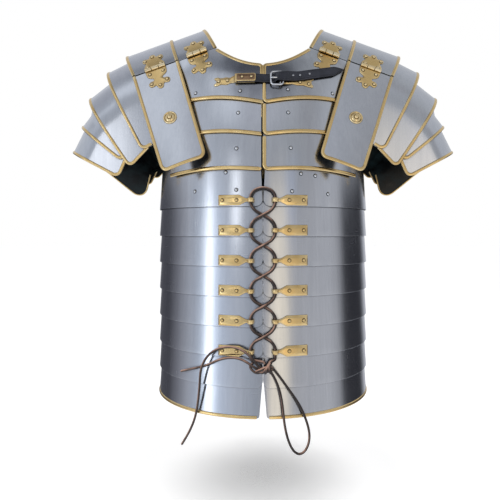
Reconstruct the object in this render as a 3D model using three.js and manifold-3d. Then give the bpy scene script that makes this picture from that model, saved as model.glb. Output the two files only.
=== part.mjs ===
// Segmented plate cuirass of steel bands with brass fittings, laced down the front.
// Millimetres, +Z up, the front faces -Y and +X is the wearer's left.
// The origin lies between the wearer's shoulders, level with the tops of the shoulders.
import * as THREE from "three";
import { mergeVertices } from "three/addons/utils/BufferGeometryUtils.js";
import Module from "manifold-3d";

const wasm = await Module();
wasm.setup();

// Sheet and clearances
const steelThickness = 1.0;
const slidingGap = 0.45;
const seatGap = 0.3;
const turningGap = 0.3;
const cutOverrun = 2;

// Girdle of overlapping half hoops
const girdleHalfWidth = 150;
const girdleHalfDepth = 140;
const bandCount = 8;
const bandPitch = 36.7;
const bandHeight = 50;
const topBandHeight = 62;
const bandTravel = 14;
const topBandEdgeDrop = 250;
const bandCornerRadius = 9;
const bandSegments = 11;
const halfOpening = 0.8;
const topOpening = 3.2;
const bottomOpening = 4.5;
const bandOverlap = bandHeight - bandPitch;
const bandFlare = (steelThickness + slidingGap) / (1 - (bandOverlap + bandTravel) / bandHeight);

// Brass tie loops and the thong through them
const tieRows = 6;
const tiePlateInner = 19;
const tiePlateOuter = 54;
const tiePlateHeight = 13.5;
const tiePlateThickness = 1.0;
const tieNeckHeight = 3;
const tieRise = 7.6;
const eyeletOffset = 14.9;
const eyeletOuterRadius = 3.9;
const eyeletInnerRadius = 2.4;
const eyeletHeight = 3;
const eyeletSides = 8;
const tiePlateReachShares = [1, 0.9, 0.667, 0.3, 0];
const tiePlateHeightShares = [0.85, 1, 1, 0.85, 0.24];
const thongDiameter = 3;
const thongSides = 8;
const crossingSpread = 1.85;
const crossingLift = 1.3;
const lacingArcRise = 14;
const lacingSteps = 60;
const lacingEndSpreadShare = 1;
const lacingBendDrop = 1.2;

// Shoulder arches, sloping down and outward
const shoulderSlope = THREE.MathUtils.degToRad(20);
const shoulderTop = 40.7;
const shoulderRise = 54.5;
const shoulderDepthShare = 0.88;
const archInset = 23.2;
const hingeInset = 38.2;
const archHalfDepth = girdleHalfDepth * shoulderDepthShare - archInset;
const hingeHalfDepth = girdleHalfDepth * shoulderDepthShare - hingeInset;
const archSegments = 7;
const guardStep = 1.6;
const collarInnerShare = 0.47333;
const guardInnerShare = 0.83;
const collarInnerEdge = girdleHalfWidth * collarInnerShare;
const collarNeckRun = 5.7;
const guardWidth = 62.5;
const guardInnerEdge = girdleHalfWidth * guardInnerShare;
const guardOuterEdge = guardInnerEdge + guardWidth;
const guardTopRun = 7;
const guardTuck = 9;
const guardLeafLength = 147;
const guardLeafSpreadShare = 0.31973;
const guardLeafCrown = 2.5;
const guardInnerTaper = 5.5;
const guardCornerRadius = 9;
const hingeEdgeGap = 0.8;
const rosetteDrop = 79;
const rosetteRadius = 8.5;
const rosetteHeight = 4;
const rosetteRimHeight = 1.33;
const rosetteShiftShare = 0.25;

// Butt hinges between the shoulder plates
const hingeWidth = 28;
const hingeMiddleWidth = 10;
const hingeLeafLength = 24;
const hingeLeafThickness = 1.0;
const guardKnuckleRadius = 2.0;
const knuckleBite = 0.4;
const hingePinRadius = 1.0;
const hingeBoreRadius = 1.5;
const knuckleSeat = 0.1;
const knuckleSides = 10;
const pinSides = 6;
const hingeLeafRunShares = [0, 0.2, 0.42, 0.62, 0.82, 1];
const hingeLeafWidthShares = [1, 1, 0.62, 0.86, 0.8, 0.3];

// Breast and back plates
const plateRows = 3;
const plateHalfGap = 1.2;
const plateFootShare = 0.80667;
const plateTopShare = 0.73333;
const neckShare = 0.41333;
const plateReach = girdleHalfWidth * plateFootShare;
const plateTopReach = girdleHalfWidth * plateTopShare;
const neckReach = girdleHalfWidth * neckShare;
const plateOverlap = 12;
const plateFlare = 2.2;
const yokeHeight = 169;
const topPlateRowShares = [0, 0.33, 0.67, 1];
const lowPlateRowShares = [0, 0.5, 1];
const plateEdgeDrops = [122, 163, 206];
const plateMidRises = [5, 4.5, 3.5];
const plateSideRises = [7, 2, -2.5];
const chestNeckDrop = 73;
const backNeckDrop = 52;
const neckCurveShare = 2.9;
const yokeHeightShares = [0, 0.254, 0.497, 0.787, 0.893, 1];
const yokeDepthInsets = [2.52, 5.46, 13.02, 27.02, 37.94, 50.54];
const yokeWidthShares = [1.027, 1.04, 1.04, 1.1, 1.187, 1.3];
const plateColumnShares = [0, 0.16, 0.31, 0.44, 0.5636, 0.78, 1];

// Upper arm lames, each a band turned about one fore-and-aft line
const lamePivotOverhang = 2.72;
const lamePivotDepth = 170.39;
const lameGap = 1.0;
const lameLegCentre = 120;
const lameRadii = [202.3, 187.3, 168.4, 163];
const lameDepthInsets = [16, 20, 24, 28];
const lameStartAngles = [22.8, 32.8, 48.6, 57.5];
const lameEdgeAngles = [30.6, 43.3, 55.8, 69.2];
const lameTuckAngle = 7.5;
const lameFrontStartAngles = [24, 30, 52, 56];
const lameFrontEdgeAngles = [37.7, 62.7, 61, 77.3];
const lameBackStartAngles = [24, 30, 52, 60];
const lameBackEdgeAngles = [37.7, 62.7, 72, 92.6];
const lameFrontLegRadii = [65, 64, 79, 76];
const lameBackLegRadii = [65, 64, 79, 98];
const lameArcAngles = [90, 70, 50, 30, 10];

// Inner leathers
const leatherThickness = 2;
const girdleLeatherWidth = 30;
const lameLeatherMargin = 0.5;
const guardSeatAngle = 8;
const lameLeatherEndShare = 0.75;

// Neck strap, its clasp and its buckle
const strapWidth = 11;
const strapThickness = 2;
const strapLevel = 90.5;
const claspOuter = 32.4;
const claspInner = 9;
const claspHeight = 10;
const claspThickness = 1.2;
const strapHoleReach = 15.5;
const strapTailStart = 18.5;
const strapTailMargin = 2.83;
const strapTailRise = 20;
const strapTailRiseShare = 1.15;
const strapTailShares = [0.151, 0.31, 0.47, 0.629, 0.788, 0.907];
const strapTipShare = 0.25;
const fittingSeat = 0.8;
const strapUnderLift = 0.9;
const strapOverLift = 6.5;
const strapSlot = 3.6;
const strapSlotEnd = 23.4;
const buckleInner = 8.6;
const buckleOuter = 26.2;
const buckleHeight = 20;
const buckleBar = 2.4;
const buckleLift = 3.1;
const buckleThickness = 2.3;
const tonguePivot = 21.4;
const tongueLift = 4.3;
const tongueRadius = 1.0;
const tonguePivotRadius = 1.15;
const tonguePivotHeight = 5;
const tongueSteps = 5;
const fittingThickness = 0.9;
const fittingHeight = 9;
const bucklePlateEnd = 64;
const hingePlateInner = 33.4;
const hingePlateOuter = 61;
const backStrapReach = 60;
const backStrapShares = [-1, -0.75, -0.5, -0.25, 0, 0.25, 0.5, 0.75, 1];
const backStrapDrop = 86;

// Knot, bow and ends of the thong: each place is a reach, a lift off the girdle and a rise from the knot
const knotReach = 5;
const knotLift = 7.6;
const knotHang = 18.1;
const knotHalfSizes = [10.5, 5.5, 5.5];
const knotSides = 8;
const knotTopShare = 0.88;
const bowSteps = 32;
const longEndSteps = 26;
const shortEndSteps = 16;
const longEndRoute = [
  [-4.7, 8.0, 2.0], [-7.6, 9.8, 5.4], [-10.9, 11.3, 10.0], [-15.0, 12.2, 15.6],
  [-21.0, 11.6, 20.8], [-29.0, 9.7, 24.2], [-38.7, 7.1, 25.1], [-49.9, 6.3, 23.2],
  [-59.2, 7.5, 19.7], [-66.4, 8.8, 14.1], [-70.9, 9.5, 7.6], [-74.6, 9.9, 1.3],
  [-76.8, 9.8, -4.8], [-77.8, 8.4, -14.6], [-78.2, 6.4, -25.8], [-79.8, 5.1, -39.8],
  [-81.7, 4.5, -55.1], [-84.2, 4.7, -71.2], [-88.3, 5.2, -80.4], [-93.2, 5.7, -89.2],
  [-103.3, 6.7, -107.4],
];
const shortEndRoute = [
  [-6.2, 7.8, -1.4], [-10.4, 9.7, 0.7], [-15.5, 10.6, 5.2], [-20.0, 9.8, 8.2],
  [-26.0, 8.4, 10.6], [-32.0, 6.8, 11.6], [-40.0, 5.1, 11.0], [-48.0, 5.3, 9.4],
  [-55.0, 5.3, 6.8], [-62.0, 5.3, 2.6], [-69.0, 5.3, -1.2], [-76.5, 4.7, -4.4],
  [-84.0, 4.6, -7.0], [-92.0, 5.7, -9.8], [-104.1, 5.6, -14.8],
];
const bowRoute = [
  [11.0, 8.0, 0.5], [15.5, 7.6, -4.5], [20.5, 7.1, -11.5], [26.8, 6.1, -20.4],
  [34.4, 5.2, -31.7], [41.9, 4.2, -42.7], [47.1, 4.7, -52.2], [51.1, 5.0, -62.4],
  [54.6, 5.3, -72.0], [57.0, 5.5, -81.5], [57.4, 5.4, -89.5], [56.1, 5.4, -97.2],
  [51.6, 5.0, -105.6], [46.0, 4.5, -109.6], [41.2, 4.1, -108.6], [36.6, 4.4, -103.0],
  [32.4, 4.7, -94.6], [28.9, 4.9, -84.0], [26.5, 4.9, -73.4], [24.9, 4.9, -61.9],
  [24.1, 4.9, -50.4], [22.5, 5.0, -38.9], [20.0, 5.4, -27.3], [16.0, 6.3, -16.0],
  [10.0, 7.3, -5.0], [6.5, 7.7, -0.5],
];

// Finishes
const steel = { color: 0xc3c6ca, roughness: 0.28, metalness: 1 };
const brass = { color: 0xd2ab52, roughness: 0.3, metalness: 1 };
const blackLeather = { color: 0x17161a, roughness: 0.55, metalness: 0 };
const brownLeather = { color: 0x3b1f18, roughness: 0.6, metalness: 0 };

const part = new THREE.Group();
const sides = [["left", 1], ["right", -1]];

// A closed mesh from points and triangles, turned so that its faces point out
function closedGeometry(points, triangles) {
  let volume = 0;
  for (const [a, b, c] of triangles) {
    volume += points[a].dot(points[b].clone().cross(points[c]));
  }
  const order = volume < 0 ? triangles.map(([a, b, c]) => [a, c, b]) : triangles;
  const geometry = new THREE.BufferGeometry();
  geometry.setAttribute("position", new THREE.Float32BufferAttribute(points.flatMap((p) => p.toArray()), 3));
  geometry.setIndex(order.flat());
  return geometry;
}

// A plate from a grid of outer points and a matching grid of inner points
function plateFromGrids(outer, inner) {
  const rows = outer.length;
  const columns = outer[0].length;
  const points = [...outer.flat(), ...inner.flat()];
  const at = (face, row, column) => (face * rows + row) * columns + column;
  const triangles = [];
  const quad = (a, b, c, d) => triangles.push([a, b, c], [a, c, d]);
  for (let r = 0; r < rows - 1; r += 1) {
    for (let c = 0; c < columns - 1; c += 1) {
      quad(at(0, r, c), at(0, r, c + 1), at(0, r + 1, c + 1), at(0, r + 1, c));
      quad(at(1, r, c), at(1, r + 1, c), at(1, r + 1, c + 1), at(1, r, c + 1));
    }
  }
  for (let c = 0; c < columns - 1; c += 1) {
    quad(at(0, 0, c), at(1, 0, c), at(1, 0, c + 1), at(0, 0, c + 1));
    quad(at(0, rows - 1, c), at(0, rows - 1, c + 1), at(1, rows - 1, c + 1), at(1, rows - 1, c));
  }
  for (let r = 0; r < rows - 1; r += 1) {
    quad(at(0, r, 0), at(0, r + 1, 0), at(1, r + 1, 0), at(1, r, 0));
    quad(at(0, r, columns - 1), at(1, r, columns - 1), at(1, r + 1, columns - 1), at(0, r + 1, columns - 1));
  }
  return closedGeometry(points, triangles);
}

// A plate whose rows and columns come from a function of row, column and depth under the outer face
function gridPlate(rows, columns, depths, pointAt) {
  const grids = depths.map((depth) => rows.map((row) => columns.map((column) => pointAt(row, column, depth))));
  return plateFromGrids(grids[0], grids[1]);
}

// Joining and cutting
function toSolid(geometry) {
  const bare = geometry.clone();
  bare.deleteAttribute("normal");
  bare.deleteAttribute("uv");
  const merged = mergeVertices(bare);
  const vertProperties = new Float32Array(merged.attributes.position.array);
  const triVerts = new Uint32Array(merged.index.array);
  return new wasm.Manifold(new wasm.Mesh({ numProp: 3, vertProperties, triVerts }));
}

function fromSolid(solid) {
  const mesh = solid.getMesh();
  const geometry = new THREE.BufferGeometry();
  geometry.setAttribute("position", new THREE.BufferAttribute(new Float32Array(mesh.vertProperties), 3));
  geometry.setIndex(Array.from(mesh.triVerts));
  return geometry;
}

function joined(base, added, removed = []) {
  let solid = toSolid(base);
  for (const geometry of removed) {
    solid = solid.subtract(toSolid(geometry));
  }
  for (const geometry of added) {
    solid = solid.add(toSolid(geometry));
  }
  return fromSolid(solid);
}

function addPiece(name, geometry, finish) {
  const mesh = new THREE.Mesh(geometry, new THREE.MeshStandardMaterial(finish));
  mesh.name = name;
  part.add(mesh);
}

// A straight read of a table of places
function tableValue(places, values, place) {
  let i = 0;
  while (i < places.length - 2 && (place - places[i + 1]) * (places[i + 1] - places[i]) > 0) {
    i += 1;
  }
  return THREE.MathUtils.mapLinear(place, places[i], places[i + 1], values[i], values[i + 1]);
}

// The thong or any cord as a round-sided tube along a smooth line
function tubeAlong(places, diameter, steps) {
  const outline = new THREE.Shape();
  for (let i = 0; i < thongSides; i += 1) {
    const angle = (2 * Math.PI * i) / thongSides;
    const at = [(diameter / 2) * Math.cos(angle), (diameter / 2) * Math.sin(angle)];
    if (i === 0) outline.moveTo(...at);
    else outline.lineTo(...at);
  }
  const extrudePath = new THREE.CatmullRomCurve3(places.map((p) => new THREE.Vector3(...p)), false, "centripetal");
  return new THREE.ExtrudeGeometry(outline, { steps, extrudePath, bevelEnabled: false });
}

// Girdle bands
const lastBand = bandCount - 1;
const bandEdge = (band) => -topBandEdgeDrop - band * bandPitch;
const heightOfBand = (band) => (band === 0 ? topBandHeight : bandHeight);
const bandLean = bandFlare / bandHeight;

function openingOfBand(band, rise) {
  if (band === 0) return halfOpening + topOpening * (rise / topBandHeight);
  if (band === lastBand) return halfOpening + bottomOpening * (1 - rise / bandHeight);
  return halfOpening;
}

// Angles round a half hoop from the front middle to the back middle, with the rounded corners
function bandStations(opening) {
  const cornerCut = bandCornerRadius * (1 - Math.SQRT1_2);
  const stations = [[0, bandCornerRadius], [cornerCut, cornerCut], [bandCornerRadius, 0]];
  const start = stations.map(([run, lift]) => [(opening + run) / girdleHalfWidth, lift]);
  const middle = [];
  for (let k = 1; k < bandSegments; k += 1) {
    middle.push([(Math.PI * k) / bandSegments, 0]);
  }
  const end = start.map(([angle, lift]) => [Math.PI - angle, lift]).reverse();
  return [...start, ...middle, ...end];
}

const hoopX = (angle, inset) => (girdleHalfWidth - inset) * Math.sin(angle);
const hoopY = (angle, inset) => -(girdleHalfDepth - inset) * Math.cos(angle);

function bandShell(band, side) {
  const height = heightOfBand(band);
  const upper = bandStations(openingOfBand(band, height));
  const lower = bandStations(openingOfBand(band, 0));
  const columns = lower.map((station, k) => k);
  return gridPlate([0, 1], columns, [0, steelThickness], (row, k, depth) => {
    const [angle, lift] = row === 0 ? lower[k] : [upper[k][0], height];
    const inset = bandLean * lift + depth;
    const z = bandEdge(band) + lift;
    return new THREE.Vector3(side * hoopX(angle, inset), hoopY(angle, inset), z);
  });
}

// Distance of a hoop's flat-sided face from the middle, at a given reach to the side
function hoopFace(reach, inset) {
  const stations = bandStations(halfOpening).map(([angle]) => angle);
  const reaches = stations.map((angle) => hoopX(angle, inset)).slice(0, stations.length / 2);
  const depths = stations.map((angle) => -hoopY(angle, inset)).slice(0, stations.length / 2);
  return tableValue(reaches, depths, reach);
}

const tieLevel = (band) => bandEdge(band) + tieRise;
const eyeletForward = hoopFace(eyeletOffset, 0) + eyeletOuterRadius + seatGap;
const knotForward = hoopFace(knotReach, 0) + knotLift;
const knotDrop = knotHang - tieLevel(tieRows - 1);

function tieLoop(band, side, face) {
  const reaches = tiePlateReachShares.map((share) => tiePlateInner + (tiePlateOuter - tiePlateInner) * share);
  const heights = tiePlateHeightShares.map((share) => tiePlateHeight * share);
  reaches.push(eyeletOffset);
  heights.push(tieNeckHeight);
  const columns = reaches.map((reach, i) => i);
  const strip = gridPlate([-1, 1], columns, [0, tiePlateThickness + steelThickness / 2], (row, i, depth) => {
    const z = tieLevel(band) + (row * heights[i]) / 2;
    const inset = bandLean * (z - bandEdge(band)) - tiePlateThickness + depth;
    return new THREE.Vector3(side * reaches[i], -face * hoopFace(reaches[i], inset), z);
  });
  const ring = new THREE.Shape().absarc(0, 0, eyeletOuterRadius, 0, 2 * Math.PI);
  ring.holes.push(new THREE.Path().absarc(0, 0, eyeletInnerRadius, 0, 2 * Math.PI, true));
  const settings = { depth: eyeletHeight, bevelEnabled: false, curveSegments: eyeletSides / 2 };
  const eyelet = new THREE.ExtrudeGeometry(ring, settings);
  eyelet.translate(side * eyeletOffset, -face * eyeletForward, tieLevel(band) - eyeletHeight / 2);
  return [strip, eyelet];
}

function addGirdle() {
  for (const [sideName, side] of sides) {
    for (let band = 0; band < bandCount; band += 1) {
      const loops = band < tieRows ? [...tieLoop(band, side, 1), ...tieLoop(band, side, -1)] : [];
      const shell = bandShell(band, side);
      const geometry = loops.length > 0 ? joined(shell, loops) : shell;
      addPiece(`girdle_band_${band + 1}_${sideName}`, geometry, steel);
    }
  }
}

// Inner leathers of the girdle, flat against the middle facet of every band
function addGirdleLeathers() {
  const facetCos = Math.cos(Math.PI / bandSegments / 2);
  const tightest = (girdleHalfWidth - bandFlare - steelThickness) * facetCos - seatGap;
  const topBandTight = (girdleHalfWidth - bandLean * topBandHeight - steelThickness) * facetCos - seatGap;
  const top = bandEdge(0) + topBandHeight;
  const bottom = bandEdge(lastBand) + bandCornerRadius;
  for (const [sideName, side] of sides) {
    const columns = [-girdleLeatherWidth / 2, girdleLeatherWidth / 2];
    const levels = [[bottom, tightest], [bandEdge(1) + bandHeight, tightest], [top, topBandTight]];
    const strip = gridPlate(levels, columns, [0, leatherThickness], ([z, reach], y, depth) => (
      new THREE.Vector3(side * (reach - depth), y, z)
    ));
    addPiece(`girdle_leather_${sideName}`, strip, blackLeather);
  }
}

// Shoulder frame: w runs outward along the slope, n stands square to it
const archHeight = shoulderRise / (1 - Math.sqrt(1 - (hingeHalfDepth / archHalfDepth) ** 2));
const archCentre = shoulderTop - archHeight;
const hingeAngle = Math.asin(hingeHalfDepth / archHalfDepth);
const leafTilt = Math.asin(guardLeafSpreadShare);

function fromShoulder(side, w, y, n) {
  const x = w * Math.cos(shoulderSlope) + n * Math.sin(shoulderSlope);
  return new THREE.Vector3(side * x, y, n * Math.cos(shoulderSlope) - w * Math.sin(shoulderSlope));
}

const archY = (angle, inset) => (archHalfDepth - inset) * Math.sin(angle);
const archN = (angle, inset) => archCentre + (archHeight - inset) * Math.cos(angle);
const topShare = (angle) => (Math.cos(angle) - Math.cos(hingeAngle)) / (1 - Math.cos(hingeAngle));

// The hinge line: where it lies and which way its knuckles stand off
const knuckleOffset = guardKnuckleRadius + knuckleSeat;
const collarKnuckleRadius = knuckleOffset + guardStep - hingeLeafThickness + knuckleBite;
const axisY = archY(hingeAngle, 0) + knuckleOffset * Math.cos(leafTilt);
const axisN = archN(hingeAngle, 0) + knuckleOffset * Math.sin(leafTilt);

function rodAlongHinge(side, face, wStart, wEnd, radius, roundSides = knuckleSides) {
  const rod = new THREE.CylinderGeometry(radius, radius, wEnd - wStart, roundSides);
  rod.rotateZ(Math.PI / 2);
  rod.rotateY(side * shoulderSlope);
  const middle = fromShoulder(side, (wStart + wEnd) / 2, -face * axisY, axisN);
  rod.translate(middle.x, middle.y, middle.z);
  return rod;
}

// Knuckles and leaf on the upper and lower plate of one hinge, as lists to join and to cut
function hingeSpans(wCentre) {
  const half = hingeWidth / 2;
  const middle = hingeMiddleWidth / 2;
  return { outer: [wCentre - half, wCentre + half], middle: [wCentre - middle, wCentre + middle] };
}

function upperHinge(side, face, wCentre, radius) {
  const { outer, middle } = hingeSpans(wCentre);
  const clear = radius + turningGap;
  return {
    added: [
      rodAlongHinge(side, face, outer[0], middle[0] - turningGap / 2, radius),
      rodAlongHinge(side, face, middle[1] + turningGap / 2, outer[1], radius),
      rodAlongHinge(side, face, outer[0] + seatGap, outer[1] - seatGap, hingePinRadius, pinSides),
    ],
    removed: [rodAlongHinge(side, face, middle[0] - turningGap / 2, middle[1] + turningGap / 2, clear)],
  };
}

function lowerHinge(side, face, wCentre, radius) {
  const { outer, middle } = hingeSpans(wCentre);
  const clear = radius + turningGap;
  const inset = turningGap / 2;
  return {
    knuckle: rodAlongHinge(side, face, middle[0] + inset, middle[1] - inset, radius),
    bore: rodAlongHinge(side, face, middle[0] - cutOverrun, middle[1] + cutOverrun, hingeBoreRadius),
    cuts: [
      rodAlongHinge(side, face, outer[0] - cutOverrun, middle[0] + inset, clear),
      rodAlongHinge(side, face, middle[1] - inset, outer[1] + cutOverrun, clear),
    ],
  };
}

// A hinge leaf that follows a plate: its rows run away from the hinge line
function hingeLeaf(wCentre, surface) {
  const start = hingeEdgeGap / 2;
  const rows = hingeLeafRunShares.map((share, i) => [
    start + (hingeLeafLength - start) * share,
    (hingeWidth / 2) * hingeLeafWidthShares[i],
  ]);
  const depths = [-hingeLeafThickness, steelThickness / 2];
  return gridPlate(rows, [-1, 1], depths, ([run, half], edge, depth) => surface(wCentre + edge * half, run, depth));
}

function hingedUpper(plate, side, wCentre, radius, inset) {
  const added = [];
  const removed = [];
  for (const face of [1, -1]) {
    const hinge = upperHinge(side, face, wCentre, radius);
    const leaf = hingeLeaf(wCentre, (w, run, depth) => {
      const angle = hingeAngle - run / archHalfDepth;
      return fromShoulder(side, w, -face * archY(angle, inset + depth), archN(angle, inset + depth));
    });
    added.push(fromSolid(toSolid(leaf).subtract(toSolid(hinge.removed[0]))), ...hinge.added);
    removed.push(...hinge.removed);
  }
  return joined(plate, added, removed);
}

function hingedLower(plate, leaf, hinge) {
  let solid = toSolid(plate).add(toSolid(leaf));
  for (const cut of hinge.cuts) {
    solid = solid.subtract(toSolid(cut));
  }
  solid = solid.add(toSolid(hinge.knuckle)).subtract(toSolid(hinge.bore));
  return fromSolid(solid);
}

const archRows = Array.from({ length: archSegments + 1 }, (unused, i) => {
  const edge = hingeAngle - hingeEdgeGap / 2 / archHalfDepth;
  return -edge + (2 * edge * i) / archSegments;
});

const collarHingeCentre = (collarInnerEdge + guardInnerEdge) / 2;
const guardHingeCentre = (guardInnerEdge + guardOuterEdge) / 2;

function addCollars() {
  for (const [sideName, side] of sides) {
    const plate = gridPlate(archRows, [0, 1], [guardStep, guardStep + steelThickness], (angle, column, inset) => {
      const neck = collarInnerEdge + collarNeckRun * topShare(angle);
      const w = column === 0 ? neck : guardInnerEdge + guardTuck;
      return fromShoulder(side, w, archY(angle, inset), archN(angle, inset));
    });
    const geometry = hingedUpper(plate, side, collarHingeCentre, collarKnuckleRadius, guardStep);
    addPiece(`collar_plate_${sideName}`, geometry, steel);
  }
}

function addGuardTops() {
  for (const [sideName, side] of sides) {
    const plate = gridPlate(archRows, [0, 1], [0, steelThickness], (angle, column, inset) => {
      const w = column === 0 ? guardInnerEdge : guardOuterEdge + guardTopRun * topShare(angle);
      return fromShoulder(side, w, archY(angle, inset), archN(angle, inset));
    });
    const geometry = hingedUpper(plate, side, guardHingeCentre, guardKnuckleRadius, 0);
    addPiece(`guard_top_${sideName}`, geometry, steel);
  }
}

// The hinged leaves in front of and behind the shoulder
function guardLeafPoint(side, face, w, run, depth) {
  const across = THREE.MathUtils.mapLinear(w, guardInnerEdge, guardOuterEdge, -1, 1);
  const crown = guardLeafCrown * (1 - across ** 2) * (run / guardLeafLength);
  const out = crown - depth;
  const y = archY(hingeAngle, 0) + run * Math.sin(leafTilt) + out * Math.cos(leafTilt);
  const n = archN(hingeAngle, 0) - run * Math.cos(leafTilt) + out * Math.sin(leafTilt);
  return fromShoulder(side, w, -face * y, n);
}

function guardLeaf(side, face) {
  const cut = guardCornerRadius * (1 - Math.SQRT1_2);
  const width = guardOuterEdge - guardInnerEdge;
  const inward = [[0, guardCornerRadius], [cut, cut], [guardCornerRadius, 0]];
  const outward = inward.map(([run, lift]) => [width - run, lift]).reverse();
  const columns = [...inward, [width / 2, 0], ...outward];
  const rows = [0, 0.5, 1];
  const plate = gridPlate(rows, columns, [0, steelThickness], (row, [run, lift], depth) => {
    const reach = hingeEdgeGap / 2 + (guardLeafLength - lift - hingeEdgeGap / 2) * row;
    const taper = guardInnerTaper * (reach / guardLeafLength) * (1 - run / width);
    return guardLeafPoint(side, face, guardInnerEdge + run + taper, reach, depth);
  });
  const hinge = lowerHinge(side, face, guardHingeCentre, guardKnuckleRadius);
  const leaf = hingeLeaf(guardHingeCentre, (w, run, depth) => guardLeafPoint(side, face, w, run, depth));
  const hinged = hingedLower(plate, leaf, hinge);
  return face > 0 ? joined(hinged, [rosette(side, face)]) : hinged;
}

function rosette(side, face) {
  const crownOut = guardLeafCrown * (rosetteDrop / guardLeafLength);
  const profile = [[0, 0], [rosetteRadius, 0], [rosetteRadius, rosetteRimHeight], [0, rosetteHeight + crownOut]];
  const boss = new THREE.LatheGeometry(profile.map(([r, h]) => new THREE.Vector2(r, h)), knuckleSides);
  const middle = guardHingeCentre + guardInnerTaper * rosetteShiftShare;
  const base = guardLeafPoint(side, face, middle, rosetteDrop, steelThickness / 2);
  const outward = guardLeafPoint(side, face, middle, rosetteDrop, -rosetteHeight);
  const turn = new THREE.Quaternion();
  turn.setFromUnitVectors(new THREE.Vector3(0, 1, 0), outward.clone().sub(base).normalize());
  boss.applyQuaternion(turn);
  boss.translate(base.x, base.y, base.z);
  return boss;
}

function addGuardLeaves() {
  for (const [sideName, side] of sides) {
    addPiece(`guard_front_${sideName}`, guardLeaf(side, 1), steel);
    addPiece(`guard_rear_${sideName}`, guardLeaf(side, -1), steel);
  }
}

// Breast and back plates hang from the hinge line of the collars
const yokeBottom = -plateEdgeDrops[plateRows - 1];
const yokeLevels = yokeHeightShares.map((share) => yokeBottom + yokeHeight * share);
const yokeDepths = yokeDepthInsets.map((inset) => girdleHalfDepth - inset);
const yokeWidths = yokeWidthShares.map((share) => girdleHalfWidth * share);
const hingeLineN = archN(hingeAngle, guardStep);
const hingeLineY = archY(hingeAngle, guardStep);
const hingeLineZ = (x) => (hingeLineN - x * Math.sin(shoulderSlope)) / Math.cos(shoulderSlope);

function yokeFace(x, z) {
  const depth = tableValue(yokeLevels, yokeDepths, z);
  const width = tableValue(yokeLevels, yokeWidths, z);
  return depth * Math.sqrt(1 - (x / width) ** 2);
}

function neckZ(x, neckDrop) {
  const top = hingeLineZ(neckReach) - hingeEdgeGap;
  return -neckDrop + (top + neckDrop) * (x / neckReach) ** neckCurveShare;
}

function lowerEdgeZ(row, x) {
  const reachShare = x / plateReach;
  const mid = plateMidRises[row] * Math.sin(Math.PI * reachShare);
  return -plateEdgeDrops[row] + mid + plateSideRises[row] * reachShare;
}

// Face of the uppermost plate, drawn in toward its top so that it meets the hinge line
function topPlateFace(x, z) {
  const reach = Math.abs(x);
  const edge = lowerEdgeZ(0, reach);
  const span = edge - lowerEdgeZ(1, reach);
  const flare = plateFlare * Math.max(0, 1 - (z - edge) / span);
  const top = hingeLineZ(reach);
  const share = THREE.MathUtils.clamp((z - edge) / (top - edge), 0, 1);
  const sideways = THREE.MathUtils.smoothstep(reach, neckReach - hingeWidth, neckReach);
  return yokeFace(reach, z) + flare + (hingeLineY - yokeFace(reach, top)) * share ** 2 * sideways;
}

function topPlate(side, face, neckDrop) {
  const columns = plateColumnShares.map((share) => ({
    top: plateHalfGap + (plateTopReach - plateHalfGap) * share,
    foot: plateHalfGap + (plateReach - plateHalfGap) * share,
  }));
  return gridPlate(topPlateRowShares, columns, [0, steelThickness], (row, { top, foot }, depth) => {
    const x = foot + (top - foot) * row;
    const topZ = top >= neckReach ? hingeLineZ(top) - hingeEdgeGap / 2 : neckZ(top, neckDrop);
    const edge = lowerEdgeZ(0, foot);
    const z = edge + (topZ - edge) * row;
    return new THREE.Vector3(side * x, -face * (topPlateFace(x, z) - depth), z);
  });
}

// A lower plate, pressed out a little toward its lower edge
function lowPlate(plateRow, side, face) {
  const columns = plateColumnShares.map((share) => plateHalfGap + (plateReach - plateHalfGap) * share);
  return gridPlate(lowPlateRowShares, columns, [0, steelThickness], (row, x, depth) => {
    const edge = lowerEdgeZ(plateRow, x);
    const upperEdge = lowerEdgeZ(plateRow - 1, x);
    const z = edge + (upperEdge + plateOverlap - edge) * row;
    const flare = plateFlare * (1 - (z - edge) / (upperEdge - edge));
    return new THREE.Vector3(side * x, -face * (yokeFace(x, z) + flare - depth), z);
  });
}

function topPlateHinged(side, face, neckDrop, fittings) {
  const hinge = lowerHinge(side, face, collarHingeCentre, collarKnuckleRadius);
  const leaf = hingeLeaf(collarHingeCentre, (w, run, depth) => {
    const n = hingeLineN - run;
    const x = w * Math.cos(shoulderSlope) + n * Math.sin(shoulderSlope);
    const z = n * Math.cos(shoulderSlope) - w * Math.sin(shoulderSlope);
    return new THREE.Vector3(side * x, -face * (topPlateFace(x, z) - depth), z);
  });
  const hinged = hingedLower(topPlate(side, face, neckDrop), leaf, hinge);
  return fittings.length > 0 ? joined(hinged, fittings) : hinged;
}

// The strap's tail ends just short of the guard's inner edge
const strapTailLevel = strapTailRise - strapLevel;
const guardEdgeReach = guardInnerEdge / Math.cos(shoulderSlope) + strapTailLevel * Math.tan(shoulderSlope);
const strapTailEnd = guardEdgeReach - strapTailMargin;

// A flat fitting or strap that runs across the breast, lifted off the plate by a given amount
const strapZ = (x) => {
  if (x < buckleOuter) return -strapLevel;
  const share = (x - buckleOuter) / (strapTailEnd - buckleOuter);
  return -strapLevel + strapTailRise * share ** strapTailRiseShare;
};

// Where a station is flat, its pieces stand off the breast at the buckle instead of following it
function breastStrip(stations, height, thickness, face = 1) {
  return gridPlate([-1, 1], stations, [thickness, 0], (row, { x, lift, z, share = 1, flat = false }, rise) => {
    const level = z + (row * height * share) / 2;
    const base = topPlateFace(flat ? buckleInner : x, level);
    return new THREE.Vector3(x, -face * (base + lift + rise), level);
  });
}

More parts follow.
